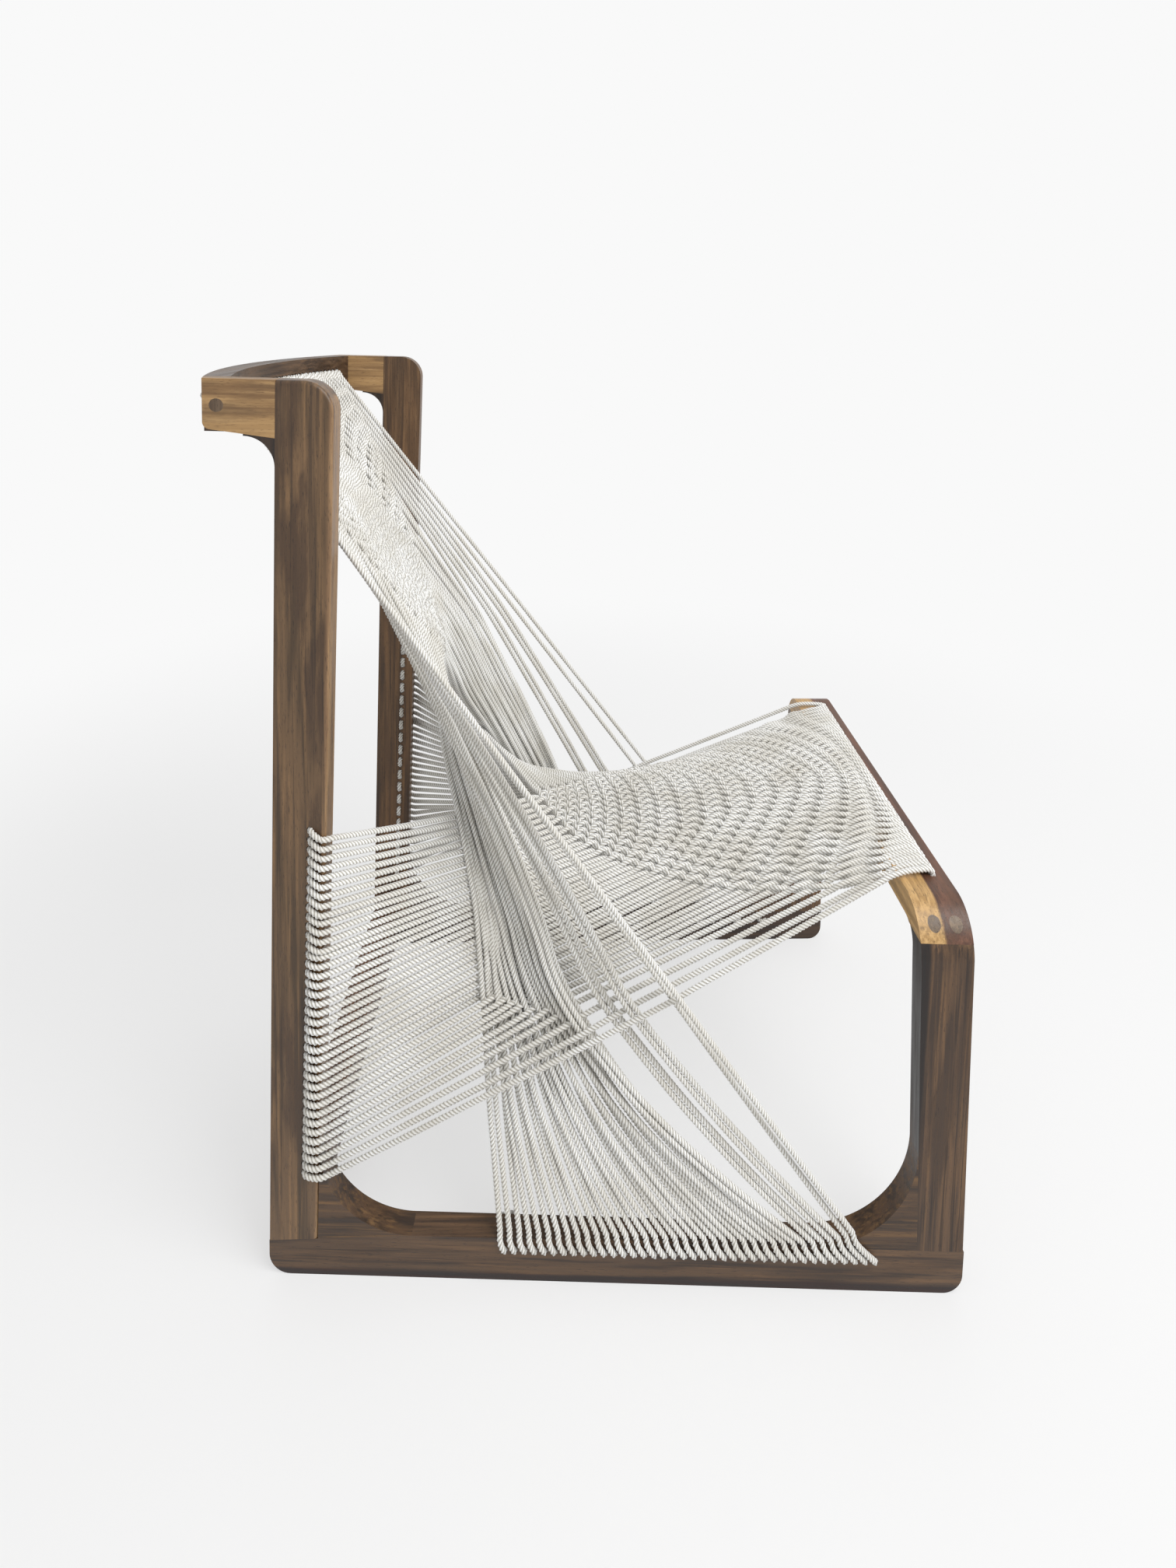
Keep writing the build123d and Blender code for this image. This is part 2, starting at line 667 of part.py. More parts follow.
def knots_at(ends):
    starts, outs = ends
    return [knot(starts[i], outs[i]) for i in (0, len(starts) - 1)]


# ---------------------------------------------------------------- assembly
def both(shapes):
    """Right-hand shapes and their mirror images."""
    return shapes + [other_side(shape) for shape in shapes]


def build():
    """Every node's name and its shape."""
    frame = {
        "rear_upright": make_upright(),
        "head_block": make_head_block(),
        "head_corner_block": make_head_corner_block(),
        "front_post": make_post(),
        "bottom_rail": make_bottom_rail(),
        "rear_corner_block": make_rear_corner_block(),
        "front_corner_block": make_front_corner_block(),
    }
    crossrail = make_crossrail()
    seat_rail = make_seat_rail()
    stretcher = make_stretcher()
    fixings = {
        "crossrail_dowels": [crossrail_dowel()],
        "head_block_dowels": head_dowels(),
        "upright_dowels": upright_dowels(),
        "post_dowels": post_dowels(),
        "corner_block_dowels": corner_dowels(),
        "stretcher_dowels": stretcher_dowels(),
        "seat_rail_plugs": seat_plugs(),
        "seat_rail_screws": seat_screws(),
    }
    bores = [shape for shapes in fixings.values() for shape in shapes]
    nodes = {}
    for name, shape in frame.items():
        shape = shape - bores
        nodes[name + "_right"] = [shape]
        nodes[name + "_left"] = [other_side(shape)]
    nodes["back_crossrail"] = [crossrail - both(fixings["crossrail_dowels"])]
    nodes["seat_rail"] = [seat_rail - both(fixings["seat_rail_plugs"] + fixings["seat_rail_screws"])]
    nodes["rear_stretcher"] = [stretcher - both(fixings["stretcher_dowels"])]
    for name, shapes in fixings.items():
        nodes[name] = both(shapes)

    ends = {
        "seat": (side_ends(upright_holes()), seat_rail_ends()),
        "back": (side_ends(rail_holes()), crossrail_ends()),
    }
    nodes["rope_knots"] = []
    for name, strand in (("seat", seat_strand), ("back", back_strand)):
        low, high = ends[name]
        right = [strand(i, True) for i in range(STRANDS)]
        left = [strand(i, False) for i in range(STRANDS)]
        nodes[name + "_rope_right"] = [shape for shape, length in right]
        nodes[name + "_rope_left"] = [other_side(shape) for shape, length in left]
        right_loops = loops_between(low, 1) + loops_between(high, 0)
        left_loops = loops_between(low, 0)
        links = links_between(high, 1)
        nodes[name + "_rope_loops"] = [shape for shape, length in right_loops + links]
        nodes[name + "_rope_loops"] += [other_side(shape) for shape, length in left_loops]
        nodes["rope_knots"] += knots_at(low)
        total = sum(length for shape, length in right + right_loops)
        print(name, "rope, right lacing:", round(total / 1000, 2), "m")
    return nodes


os.makedirs("parts", exist_ok=True)
for node, solids in build().items():
    pieces = [solid for shape in solids for solid in shape.solids()]
    shape = pieces[0] if len(pieces) == 1 else Compound(children=pieces)
    export_step(shape, f"parts/{node}.step")
    print(node, len(pieces), "solids")
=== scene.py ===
# %% [markdown]
# # The lamu chair
# This is a rigid chair of oiled hardwood boards from the Swahili coast. Two side frames carry a
# bowed crossrail at the top and a seat rail at the front, and cotton rope is laced between them in
# four crossing fans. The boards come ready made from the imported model, so this lesson gives them
# their wood, and then it lays the rope, which is where most of the chair's looks come from.

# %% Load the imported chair
import math

import bpy
import numpy as np
from mathutils import Matrix, Vector


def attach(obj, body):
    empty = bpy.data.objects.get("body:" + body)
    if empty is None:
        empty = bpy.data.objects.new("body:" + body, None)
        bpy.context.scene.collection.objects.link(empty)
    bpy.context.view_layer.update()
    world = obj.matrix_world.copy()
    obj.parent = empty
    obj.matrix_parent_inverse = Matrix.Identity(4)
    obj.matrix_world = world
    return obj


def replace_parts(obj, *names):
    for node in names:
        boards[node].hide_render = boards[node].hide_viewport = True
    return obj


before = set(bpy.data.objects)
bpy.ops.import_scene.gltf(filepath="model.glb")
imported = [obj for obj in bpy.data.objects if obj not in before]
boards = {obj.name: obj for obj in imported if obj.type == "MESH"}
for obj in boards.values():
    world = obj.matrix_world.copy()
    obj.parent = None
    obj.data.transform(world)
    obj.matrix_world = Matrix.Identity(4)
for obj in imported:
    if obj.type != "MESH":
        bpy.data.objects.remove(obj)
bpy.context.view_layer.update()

print("CAD nodes:", len(boards))

# %% [markdown]
# ## Tools for colours and nodes
# Colours are written as they look on a screen, in hex, and turned to the linear values that a
# renderer works in. A node tree is easier to read when adding a node is one call, so `add` makes
# any kind of node, sets its options, and links or sets its inputs.

# %% A colour and a node
def colour(hex_code):
    """A screen colour such as #C9A065 as linear red, green, blue and alpha."""
    shares = [int(hex_code[i : i + 2], 16) / 255 for i in (1, 3, 5)]
    return [s / 12.92 if s <= 0.04045 else ((s + 0.055) / 1.055) ** 2.4 for s in shares] + [1.0]


def add(tree, kind, inputs=None, **settings):
    """A new node with its settings. An input is a value, or the output that is linked to it."""
    made = tree.nodes.new("ShaderNode" + kind)
    for name, value in settings.items():
        setattr(made, name, value)
    for socket, value in (inputs or {}).items():
        if isinstance(value, bpy.types.NodeSocket):
            tree.links.new(value, made.inputs[socket])
        else:
            made.inputs[socket].default_value = value
    return made


def new_material(name):
    """An empty node material and its output node."""
    material = bpy.data.materials.new(name)
    material.use_nodes = True
    material.node_tree.nodes.clear()
    return material, material.node_tree, add(material.node_tree, "OutputMaterial")


print("linear value of middle grey:", round(colour("#808080")[0], 3))

# %% [markdown]
# ## The camera
# The chair is seen from its right side, from about a metre away and a little above the height of
# its top. A camera that stands so near shows the near side frame much larger than the far one.
# The lens is given by its focal length in pixels of the picture. It looks straight at a row in the
# upper part of the picture, so most of what is shown lies below, and the shift does that. Several
# lenses fit a chair of this shape about equally well, so this one is a choice.

# %% Camera
PICTURE_WIDTH = 1512           # pixels
PICTURE_HEIGHT = 2016
FOCAL_LENGTH = 1120            # pixels
AXIS_ROW = 504                 # the lens looks straight at this row
SENSOR_WIDTH = 36.0            # mm
CAMERA_PLACE = (-1.07906, 0.017, 0.99673)
CAMERA_YAW = math.radians(-1.24)
CAMERA_PITCH = math.radians(4.95)
CAMERA_ROLL = math.radians(1.38)


def add_camera():
    data = bpy.data.cameras.new("camera")
    data.sensor_fit = "HORIZONTAL"
    data.sensor_width = SENSOR_WIDTH
    data.lens = FOCAL_LENGTH * data.sensor_width / PICTURE_WIDTH
    data.shift_y = (AXIS_ROW - PICTURE_HEIGHT / 2) / PICTURE_WIDTH
    data.clip_start = 0.01
    forward = Vector((
        math.cos(CAMERA_PITCH) * math.cos(CAMERA_YAW),
        math.cos(CAMERA_PITCH) * math.sin(CAMERA_YAW),
        -math.sin(CAMERA_PITCH),
    ))
    level_right = Vector((math.sin(CAMERA_YAW), -math.cos(CAMERA_YAW), 0))
    level_up = level_right.cross(forward)
    right = math.cos(CAMERA_ROLL) * level_right + math.sin(CAMERA_ROLL) * level_up
    up = math.cos(CAMERA_ROLL) * level_up - math.sin(CAMERA_ROLL) * level_right
    camera = bpy.data.objects.new("camera", data)
    turned = Matrix((right, up, -forward)).transposed().to_4x4()
    camera.matrix_world = Matrix.Translation(CAMERA_PLACE) @ turned
    bpy.context.scene.collection.objects.link(camera)
    bpy.context.scene.camera = camera
    print("lens in mm:", round(data.lens, 2))


add_camera()

# %% [markdown]
# ## The oiled hardwood
# Each board is sawn from a dark tropical hardwood whose sapwood is golden, planed, and rubbed with
# oil until it has a soft gloss. Sawn wood could be drawn as rings cut by each board's faces, but
# these boards show long streaks and hardly any rings, so stretched noise is nearer and simpler.
# Three sizes of it work together: broad bands of colour, narrow near-black streaks, and pores, the
# short dark dashes that mark a hardwood. A board is longer along its grain, so the noise is
# squeezed across the grain by a vector of real sizes in millimetres.

# %% A recipe for one board's wood
MM = 0.001


def across(grain, along_mm, across_mm):
    """Scale of a pattern that is this long along the grain axis and this wide across it."""
    sizes = [across_mm * MM] * 3
    sizes["XYZ".index(grain)] = along_mm * MM
    return [1 / size for size in sizes]


def stretched_noise(tree, place, grain, along_mm, across_mm, detail, seed):
    """Noise as long and as wide as the figure of the wood."""
    stretched = add(tree, "Mapping", {"Vector": place, "Scale": across(grain, along_mm, across_mm),
                                      "Location": (seed, seed * 1.7, seed * 0.6)})
    noise = add(tree, "TexNoise", {"Vector": stretched.outputs[0], "Scale": 1.0, "Detail": detail,
                                   "Roughness": 0.55, "Distortion": 0.25})
    return noise.outputs["Fac"]


def ramp(tree, value, low, high, bottom=0.0, top=1.0):
    """A smooth step of a value from low to high."""
    return add(tree, "MapRange", {"Value": value, "From Min": low, "From Max": high,
                                  "To Min": bottom, "To Max": top},
               interpolation_type="SMOOTHSTEP").outputs[0]


MIX_FACTOR, MIX_A, MIX_B, MIX_RESULT = 0, 6, 7, 2      # a colour mix node's sockets


def blend_colours(tree, share, one, other):
    made = add(tree, "Mix", {MIX_FACTOR: share, MIX_A: one, MIX_B: other},
               data_type="RGBA", blend_type="MIX")
    return made.outputs[MIX_RESULT]


def band_mask(tree, place, wobble, across_axis, middle, half, soft, sway):
    """1 inside a band that is cut square to an axis and whose edge follows the grain, 0 outside it."""
    dot = add(tree, "VectorMath", {0: place, 1: across_axis}, operation="DOT_PRODUCT")
    swayed = add(tree, "Math", {0: wobble, 1: sway, 2: dot.outputs["Value"]},
                 operation="MULTIPLY_ADD").outputs[0]
    offset = add(tree, "Math", {0: swayed, 1: middle + sway / 2}, operation="SUBTRACT").outputs[0]
    distance = add(tree, "Math", {0: offset}, operation="ABSOLUTE").outputs[0]
    return ramp(tree, distance, half + soft, half - soft)


STAIN = "#44301F"              # reddish dark heartwood


def hardwood(name, grain, light, middle, dark, streak="#1A0E08", streaks=0.5, stains=0.5,
             bands=(), seed=0.0, roughness=0.42):
    """Oiled hardwood of three tones, with its streaks and any bands of another colour."""
    material, tree, output = new_material(name)
    place = add(tree, "TexCoord").outputs["Object"]
    figure = stretched_noise(tree, place, grain, 260, 14, 3.0, seed + 3.1)
    fine = stretched_noise(tree, place, grain, 150, 4.2, 5.0, seed + 7.7)
    streaking = stretched_noise(tree, place, grain, 340, 5.5, 4.0, seed + 11.3)
    pores = stretched_noise(tree, place, grain, 9, 0.75, 2.0, seed + 17.9)
    tone = blend_colours(tree, ramp(tree, figure, 0.38, 0.62), colour(dark), colour(middle))
    tone = blend_colours(tree, ramp(tree, fine, 0.42, 0.78, 0.0, 0.8), tone, colour(light))
    stained = stretched_noise(tree, place, grain, 130, 26, 6.0, seed + 23.3)
    tone = blend_colours(tree, ramp(tree, stained, 0.46, 0.62, 0.0, stains), tone, colour(STAIN))
    for band in bands:
        mask = band_mask(tree, place, figure, band["axis"], band["middle"] * MM, band["half"] * MM,
                         band.get("soft", 3.0) * MM, band.get("sway", 10.0) * MM)
        wanted = blend_colours(tree, ramp(tree, fine, 0.35, 0.65),
                               colour(band["dark"]), colour(band["light"]))
        tone = blend_colours(tree, mask, tone, wanted)
    lines = ramp(tree, streaking, 0.56, 0.66, 0.0, streaks)
    tone = blend_colours(tree, lines, tone, colour(streak))
    pore_marks = ramp(tree, pores, 0.60, 0.68, 0.0, 0.55)
    tone = blend_colours(tree, pore_marks, tone, colour(streak))
    gloss = ramp(tree, fine, 0.3, 0.7, roughness - 0.06, roughness + 0.10)
    relief = add(tree, "Math", {0: pore_marks, 1: -0.7, 2: fine}, operation="MULTIPLY_ADD").outputs[0]
    bump = add(tree, "Bump", {"Strength": 0.35, "Distance": 0.35 * MM, "Height": relief})
    surface = add(tree, "BsdfPrincipled", {"Base Color": tone, "Roughness": gloss, "IOR": 1.5,
                                           "Normal": bump.outputs[0]})
    tree.links.new(surface.outputs[0], output.inputs[0])
    return material


def finish_board(name, material):
    """Puts one material on a CAD board."""
    mesh = boards[name].data
    mesh.materials.clear()
    mesh.materials.append(material)


# %% [markdown]
# ## Which board gets which wood
# No two boards of a real chair are alike. The bottom rails, the uprights and the posts are dark
# brown with near-black streaks. The short head blocks are pale sapwood, and the corner blocks under
# them are almost black, which is partly dark wood and partly painted shade under the head blocks.
# The seat rail is golden in its rear half, with a red-brown front half.

# %% Wood of the side frames
Y_AXIS, Z_AXIS = (0, 1, 0), (0, 0, 1)
LEANING_AXIS = (0, 1, 0.0197)   # square to the upright's front edge, which leans with the height

finish_board("rear_upright_right", hardwood(
    "stained_upright_wood", "Z", "#8A6A48", "#695036", "#45331F", streaks=0.5, stains=0.85, seed=1.0,
    roughness=0.38,
    # The lighter band along the front edge and over the front face is a painted highlight of the rounded
    # edge.
    bands=[{"axis": LEANING_AXIS, "middle": 257, "half": 5, "light": "#957653", "dark": "#6F5338",
            "soft": 1.5, "sway": 3.0}],
))
finish_board("rear_upright_left", hardwood(
    "golden_upright_wood", "Z", "#8C6A46", "#6C4F33", "#3F2D1D", streaks=0.5, seed=2.0,
))
finish_board("front_post_right", hardwood(
    "streaked_post_wood", "Z", "#7E5E3E", "#60462E", "#38271A", streaks=0.7, stains=0.75, seed=3.0,
    bands=[{"axis": Y_AXIS, "middle": -348, "half": 9, "light": "#1E120C", "dark": "#120A07"}],
))
finish_board("front_post_left", hardwood(
    "brown_post_wood", "Z", "#8E6C48", "#735536", "#523A25", streaks=0.45, seed=4.0,
))
finish_board("bottom_rail_right", hardwood(
    "brown_rail_wood", "Y", "#785A3E", "#58412C", "#352519", streaks=0.55, seed=5.0,
    # The near-black band along the rail's foot, where it meets the floor, is painted shadow.
    bands=[{"axis": Z_AXIS, "middle": 2, "half": 7, "light": "#2E1A14", "dark": "#1C100C"}],
))
finish_board("bottom_rail_left", hardwood(
    "dark_rail_wood", "Y", "#553F2D", "#3F2D20", "#281B12", streaks=0.45, seed=6.0,
))
for side, seed in (("right", 7.0), ("left", 8.0)):
    pale = hardwood("pale_head_wood_" + side, "Y", "#C09C6C", "#A58255", "#7F603D", "#5E4128",
                    streaks=0.3, seed=seed, roughness=0.46)
    finish_board("head_block_" + side, pale)
    # The corner blocks are drawn almost black: partly dark wood, partly painted shade under the head
    # blocks.
    black = hardwood("dark_and_shaded_corner_wood_" + side, "Z", "#2A1C14", "#1C120D", "#120B08",
                     streaks=0.4, seed=seed + 0.5)
    finish_board("head_corner_block_" + side, black)
for number, name in enumerate(("rear_corner_block", "front_corner_block")):
    for side in ("right", "left"):
        banded = hardwood("banded_" + name + "_wood_" + side, "Y", "#7C5C38", "#553D27", "#312216",
                          streaks=0.6, seed=9.0 + number + 0.5 * (side == "left"))
        finish_board(name + "_" + side, banded)
print("side frames finished")

# %% Wood of the cross pieces
finish_board("back_crossrail", hardwood(
    "grey_brown_crossrail_wood", "X", "#6E5238", "#4E3A28", "#302115", streaks=0.5, seed=12.0,
))
finish_board("seat_rail", hardwood(
    "two_tone_seat_rail_wood", "X", "#7C5541", "#654231", "#482E22", streaks=0.35, seed=13.0,
    bands=[{"axis": Y_AXIS, "middle": -357, "half": 15, "light": "#C6A06A", "dark": "#A5814F",
            "soft": 2.0, "sway": 8.0}],
))
finish_board("rear_stretcher", hardwood(
    "brown_stretcher_wood", "X", "#8A6240", "#6A4830", "#4A3020", streaks=0.5, seed=14.0,
))
peg_wood = hardwood("peg_wood", "Z", "#8A7660", "#77634C", "#5C4A38", streaks=0.5, seed=15.0)
for name in ("crossrail_dowels", "head_block_dowels", "upright_dowels", "post_dowels",
             "corner_block_dowels", "stretcher_dowels", "seat_rail_plugs"):
    finish_board(name, peg_wood)
print("cross pieces finished")

# %% [markdown]
# ## The screws
# Two countersunk steel screws at each end hold the seat rail to its posts, under wooden plugs. They
# don't show, so they need only a plain satin steel with a little unevenness in its gloss.

# %% Satin steel
def satin_steel():
    material, tree, output = new_material("satin_steel")
    place = add(tree, "TexCoord").outputs["Object"]
    uneven = add(tree, "TexNoise", {"Vector": place, "Scale": 1 / (4 * MM), "Detail": 3.0})
    gloss = ramp(tree, uneven.outputs["Fac"], 0.3, 0.7, 0.28, 0.42)
    surface = add(tree, "BsdfPrincipled", {"Base Color": colour("#B4B4B6"), "Metallic": 1.0,
                                           "Roughness": gloss})
    tree.links.new(surface.outputs[0], output.inputs[0])
    return material


finish_board("seat_rail_screws", satin_steel())

# %% [markdown]
# ## Where the rope goes
# The rope is cotton, 6.4 mm thick, in three twisted yarns. It comes out of a hole in an upright or
# a bottom rail, turns over the board's edge, and runs to a hole in the seat rail or the crossrail.
# These sizes repeat the ready made boards' own, in millimetres, so that each strand starts and ends
# at a real hole. The right side is worked out, and the left side is its mirror image.

# %% The chair's sizes and its holes
STRANDS = 38
OVERALL_HEIGHT, BOARD = 930.0, 25.0
MID_BOARD = BOARD / 2
REAR_HALF, REAR_Y, SPLAY = 251.0, 307.5, math.radians(1.56)
SEAT_HEIGHT = 408.0
SEAT_HOLE_Y, SEAT_REAR_Y = -384.9, -346.9
CROSSRAIL_CENTRE_Y, CROSSRAIL_INNER, CROSSRAIL_HOLE_Z = -326.0, 710.0, 908.5
UPRIGHT_REAR_LEAN = 12.0       # how far the upright's rear edge leans forward over the whole height
UPRIGHT_DEPTH, UPRIGHT_WIDENING = 49.4, 6.3    # its depth at the floor, and what it gains at the top
RAIL_TOP = 47.0                # top of a bottom rail
REAR_ARC, FRONT_ARC, FRONT_ARC_Y = 95.0, 105.0, -248.3    # arcs of the corner blocks on that rail
HOLE_INSET, TOP_HOLE_Z, UPRIGHT_PITCH = 15.5, 483.8, 9.98
RAIL_HOLE_Z, REAR_HOLE_Y, RAIL_PITCH = 33.5, 64.0, 10.32
HOLE_PITCH = 10.6              # on the seat rail and the crossrail
ROPE = 6.4
LIE = ROPE / 2 + 0.1           # a strand's middle above the face that it lies on
WOVEN_TOP = SEAT_HEIGHT + LIE + ROPE / 2    # middle of the woven sheet on the seat rail
PAIR_SHIFT = HOLE_PITCH / 4    # two strands share a hole, each a little to its own side


def side_point(depth, y, z):
    """The point of the right side frame that lies this deep inside its outer face."""
    reach = y - REAR_Y
    return np.array([
        -REAR_HALF + depth * math.cos(SPLAY) + reach * math.sin(SPLAY),
        REAR_Y - depth * math.sin(SPLAY) + reach * math.cos(SPLAY),
        z,
    ])


def front_edge(z):
    """Y of an upright's front edge at a height."""
    rear_edge = REAR_Y - UPRIGHT_REAR_LEAN * z / OVERALL_HEIGHT
    return rear_edge - UPRIGHT_DEPTH - UPRIGHT_WIDENING * z / OVERALL_HEIGHT


def side_front(z):
    """Y of the front of the upright and its corner block at a height."""
    arc_top = RAIL_TOP + REAR_ARC
    if z >= arc_top:
        return front_edge(z)
    return front_edge(arc_top) - REAR_ARC + math.sqrt(REAR_ARC**2 - (arc_top - z) ** 2)


def side_top(y):
    """Height of the top of the bottom rail and its front corner block at a Y."""
    if y >= FRONT_ARC_Y:
        return RAIL_TOP
    return RAIL_TOP + FRONT_ARC - math.sqrt(FRONT_ARC**2 - (FRONT_ARC_Y - y) ** 2)


def crossrail_point(x, depth):
    """A point this deep behind the crossrail's inner face, at a hole."""
    angle = math.asin(x / CROSSRAIL_INNER)
    radius = CROSSRAIL_INNER + depth
    y = CROSSRAIL_CENTRE_Y + radius * math.cos(angle)
    return np.array([radius * math.sin(angle), y, CROSSRAIL_HOLE_Z])


hole_heights = TOP_HOLE_Z - UPRIGHT_PITCH * np.arange(STRANDS)
upright_holes = [(front_edge(z) + HOLE_INSET, z) for z in hole_heights]
rail_holes = [(y, RAIL_HOLE_Z) for y in REAR_HOLE_Y - RAIL_PITCH * np.arange(STRANDS)]
shared_x = HOLE_PITCH * ((STRANDS - 1) / 2 - np.arange(STRANDS))
print("lowest upright hole at", round(upright_holes[-1][1], 1), "mm")

# %% [markdown]
# ## The ends of each strand
# A seat strand leaves its hole, drops a little along the upright's outer face, and then folds round
# the front edge. A back strand leaves its hole in the bottom rail and folds over the rail's top. The
# small numbers are the places of each fold's own points. The middle part of each strand is left
# open here, because the next cells shape it.

# %% Starts and ends of the strands
DIPS = [9.0] * 9 + [7.0] * 4 + [3.0] * (STRANDS - 13)    # drop along the upright, from the top


def seat_start(i):
    """From inside an upright out of its hole and round its front edge."""
    y, z = upright_holes[i]
    edge_z = z - DIPS[i]
    edge_y = side_front(edge_z)
    return [side_point(MID_BOARD, y, z), side_point(1.0, y, z),
            side_point(-LIE, y - 2.5, z - 0.15 * DIPS[i]), side_point(-LIE, y - 9.0, z - 0.75 * DIPS[i]),
            side_point(-LIE, edge_y + 3.0, edge_z), side_point(0.5, edge_y - LIE, edge_z)]


def seat_end(i):
    """From the seat rail's top into a hole."""
    x = shared_x[i] - PAIR_SHIFT
    return [np.array([x, SEAT_HOLE_Y + 4.0, WOVEN_TOP]),
            np.array([x, SEAT_HOLE_Y + 1.0, WOVEN_TOP - 1.0]),
            np.array([x, SEAT_HOLE_Y, SEAT_HEIGHT]),
            np.array([x, SEAT_HOLE_Y - 0.5, SEAT_HEIGHT - MID_BOARD])]


def back_start(i):
    """From inside a bottom rail out of its hole and over its top edge."""
    y, z = rail_holes[i]
    lean = (crossrail_point(shared_x[i], 0.0)[1] - y) / (CROSSRAIL_HOLE_Z - z)
    edge_y = y
    for _ in range(3):
        edge_y = y + lean * (side_top(edge_y) + 1 - z)
    edge_z = side_top(edge_y)
    return [side_point(MID_BOARD, y, z), side_point(1.0, y, z), side_point(-LIE, y, z + 2.5),
            side_point(-LIE, edge_y, edge_z - 2.0), side_point(0.5, edge_y, edge_z + LIE)]


def back_end(i):
    """Up to the crossrail's inner face and into a hole."""
    x = shared_x[i] - PAIR_SHIFT
    below = crossrail_point(x, -LIE) - np.array([0.0, 0.0, 6.0])
    return [below, crossrail_point(x, -LIE + 1.5) - np.array([0.0, 0.0, 1.0]),
            crossrail_point(x, 2.0), crossrail_point(x, MID_BOARD)]


lacings = {"seat": (seat_start, seat_end), "back": (back_start, back_end)}
print("a seat strand spans", round(float(np.linalg.norm(seat_end(0)[0] - seat_start(0)[-1]))), "mm")

# %% [markdown]
# ## How the middle parts are shaped
# A side's seat fan and its back fan cross behind the upright, so both bend. Their shape comes in
# three steps. Each strand starts as a straight row of points. Given tables then hang and crowd
# the strands, and they move them the furthest. Last, where two strands cross, the points
# beside the crossing are pushed apart, and each point's move is evened out with its neighbours'.
# None of this works out the real tension of the rope.

# %% Straight strands as a start
POINTS = 33                    # points of one strand between its fixed ends
ROOM = 6.6                     # between the middles of two crossing ropes
PUSH = 3.0                     # strength of that push
OUTSIDE_FIRST = 28             # how far down the back fan passes outside the seat fan
MIRROR = np.array([-1.0, 1.0, 1.0])
SEAT, BACK = 0, 1

starts = np.array([[start(i)[-1] for i in range(STRANDS)] for start, end in lacings.values()])
ends = np.array([[end(i)[0] for i in range(STRANDS)] for start, end in lacings.values()])
share = np.linspace(0.0, 1.0, POINTS)[None, None, :, None]
straight = starts[:, :, None] * (1 - share) + ends[:, :, None] * share
over_rail = (starts[SEAT, :, 1] - SEAT_REAR_Y) / (starts[SEAT, :, 1] - ends[SEAT, :, 1])
climb = np.clip(share[0, 0, :, 0][None] / over_rail[:, None], 0.0, 1.0)    # 1 from the rail's rear edge
straight[SEAT, :, :, 2] = starts[SEAT, :, None, 2] * (1 - climb) + ends[SEAT, :, None, 2] * climb
print("points in the four fans:", 2 * straight[..., 0].size)

# %% [markdown]
# ## Slack in the upper strands
# The seat's upper strands hang inwards, back and down from the straight line, as slack rope does.
# The table says how far the top strand is moved at some shares of its length, and the slack fades to
# nothing over the strands below it. The rear strands of the back lean forward in the same way. The
# numbers are in millimetres to the left, to the rear and up. These are the strands' rest
# shapes, and the crossings push them on from there.

# %% Slack shapes
SEAT_SHARES = [0.0, 0.12, 0.30, 0.45, 0.58, 0.68, 0.78, 0.86, 0.93, 1.0]
SEAT_SLACK = [(0, 0, 0), (21, 10, -25), (53, 26, -61), (47, 79, -74), (47, 120, -88),
              (45, 133, -81), (43, 103, -65), (31, 85, -51), (23, 56, -29), (0, 0, 0)]
BACK_SHARES = [0.0, 0.12, 0.21, 0.31, 0.49, 0.64, 0.79, 0.91, 1.0]
BACK_SLACK = [(0, 0, 0), (0, -15, 0), (0, -30, 0), (0, -45, 0), (0, -50, 0), (0, -78, 0),
              (0, -58, 0), (0, -34, 0), (0, 0, 0)]
SLACK_STRANDS = (15.5, 24.0)   # how many seat and back strands are slack


def slack(shares, moves, strands):
    """How far each point of each strand hangs away from the straight line."""
    spots = np.linspace(0.0, 1.0, POINTS)
    shape = np.stack([np.interp(spots, shares, column) for column in np.array(moves, float).T], 1)
    return np.clip(1 - np.arange(STRANDS) / strands, 0, 1)[:, None, None] * shape


rest = straight + np.stack([slack(SEAT_SHARES, SEAT_SLACK, SLACK_STRANDS[SEAT]),
                            slack(BACK_SHARES, BACK_SLACK, SLACK_STRANDS[BACK])])
most_slack = np.linalg.norm(rest - straight, axis=3)[SEAT].max()
print("slack of the top seat strand:", round(float(most_slack)), "mm")

# %% [markdown]
# ## Crowding in the back
# Most strands of a side's back fan crowd together towards the rear, in three layers, and the
# foremost few are left standing alone in twos. A strand's place across its fan is a share from 0 at
# the rear to 1 at the front, and these tables give the places near the bottom and
# higher up. Between them, and out to the evenly spaced holes, places are blended. Three layers leave
# too little room, so some crowded strands run partly through each other.

# %% Crowded places
LOW_PLACES = np.interp(range(STRANDS), [0, 31, 32, 33, 34, 35, 36, 37],
                       [0.0, 0.44, 0.63, 0.66, 0.74, 0.77, 0.95, 1.0])
LOOSE_STRANDS = 13             # the foremost, which stand further apart higher up
LOOSE_PITCH, CROWDED_PITCH = 0.038, 0.021
from_front = STRANDS - 1 - np.arange(STRANDS)
HIGH_PLACES = np.where(from_front < LOOSE_STRANDS, 1 - LOOSE_PITCH * from_front,
                       CROWDED_PITCH * np.arange(STRANDS))
CROWD_SHARES = [0.0, 0.08, 0.16, 0.27, 0.40, 0.60, 0.82, 1.0]
CROWD_LOW = [0.0, 0.33, 0.64, 1.0, 0.7, 0.2, 0.0, 0.0]
CROWD_HIGH = [0.0, 0.0, 0.0, 0.0, 0.3, 0.8, 0.9, 0.0]
LAYER_SHARES, LAYER_RISE = [0.0, 0.08, 0.24, 0.60, 0.80, 1.0], [0.0, 0.2, 1.0, 1.0, 0.0, 0.0]
LAYERED = 32                   # strands that lie in three layers


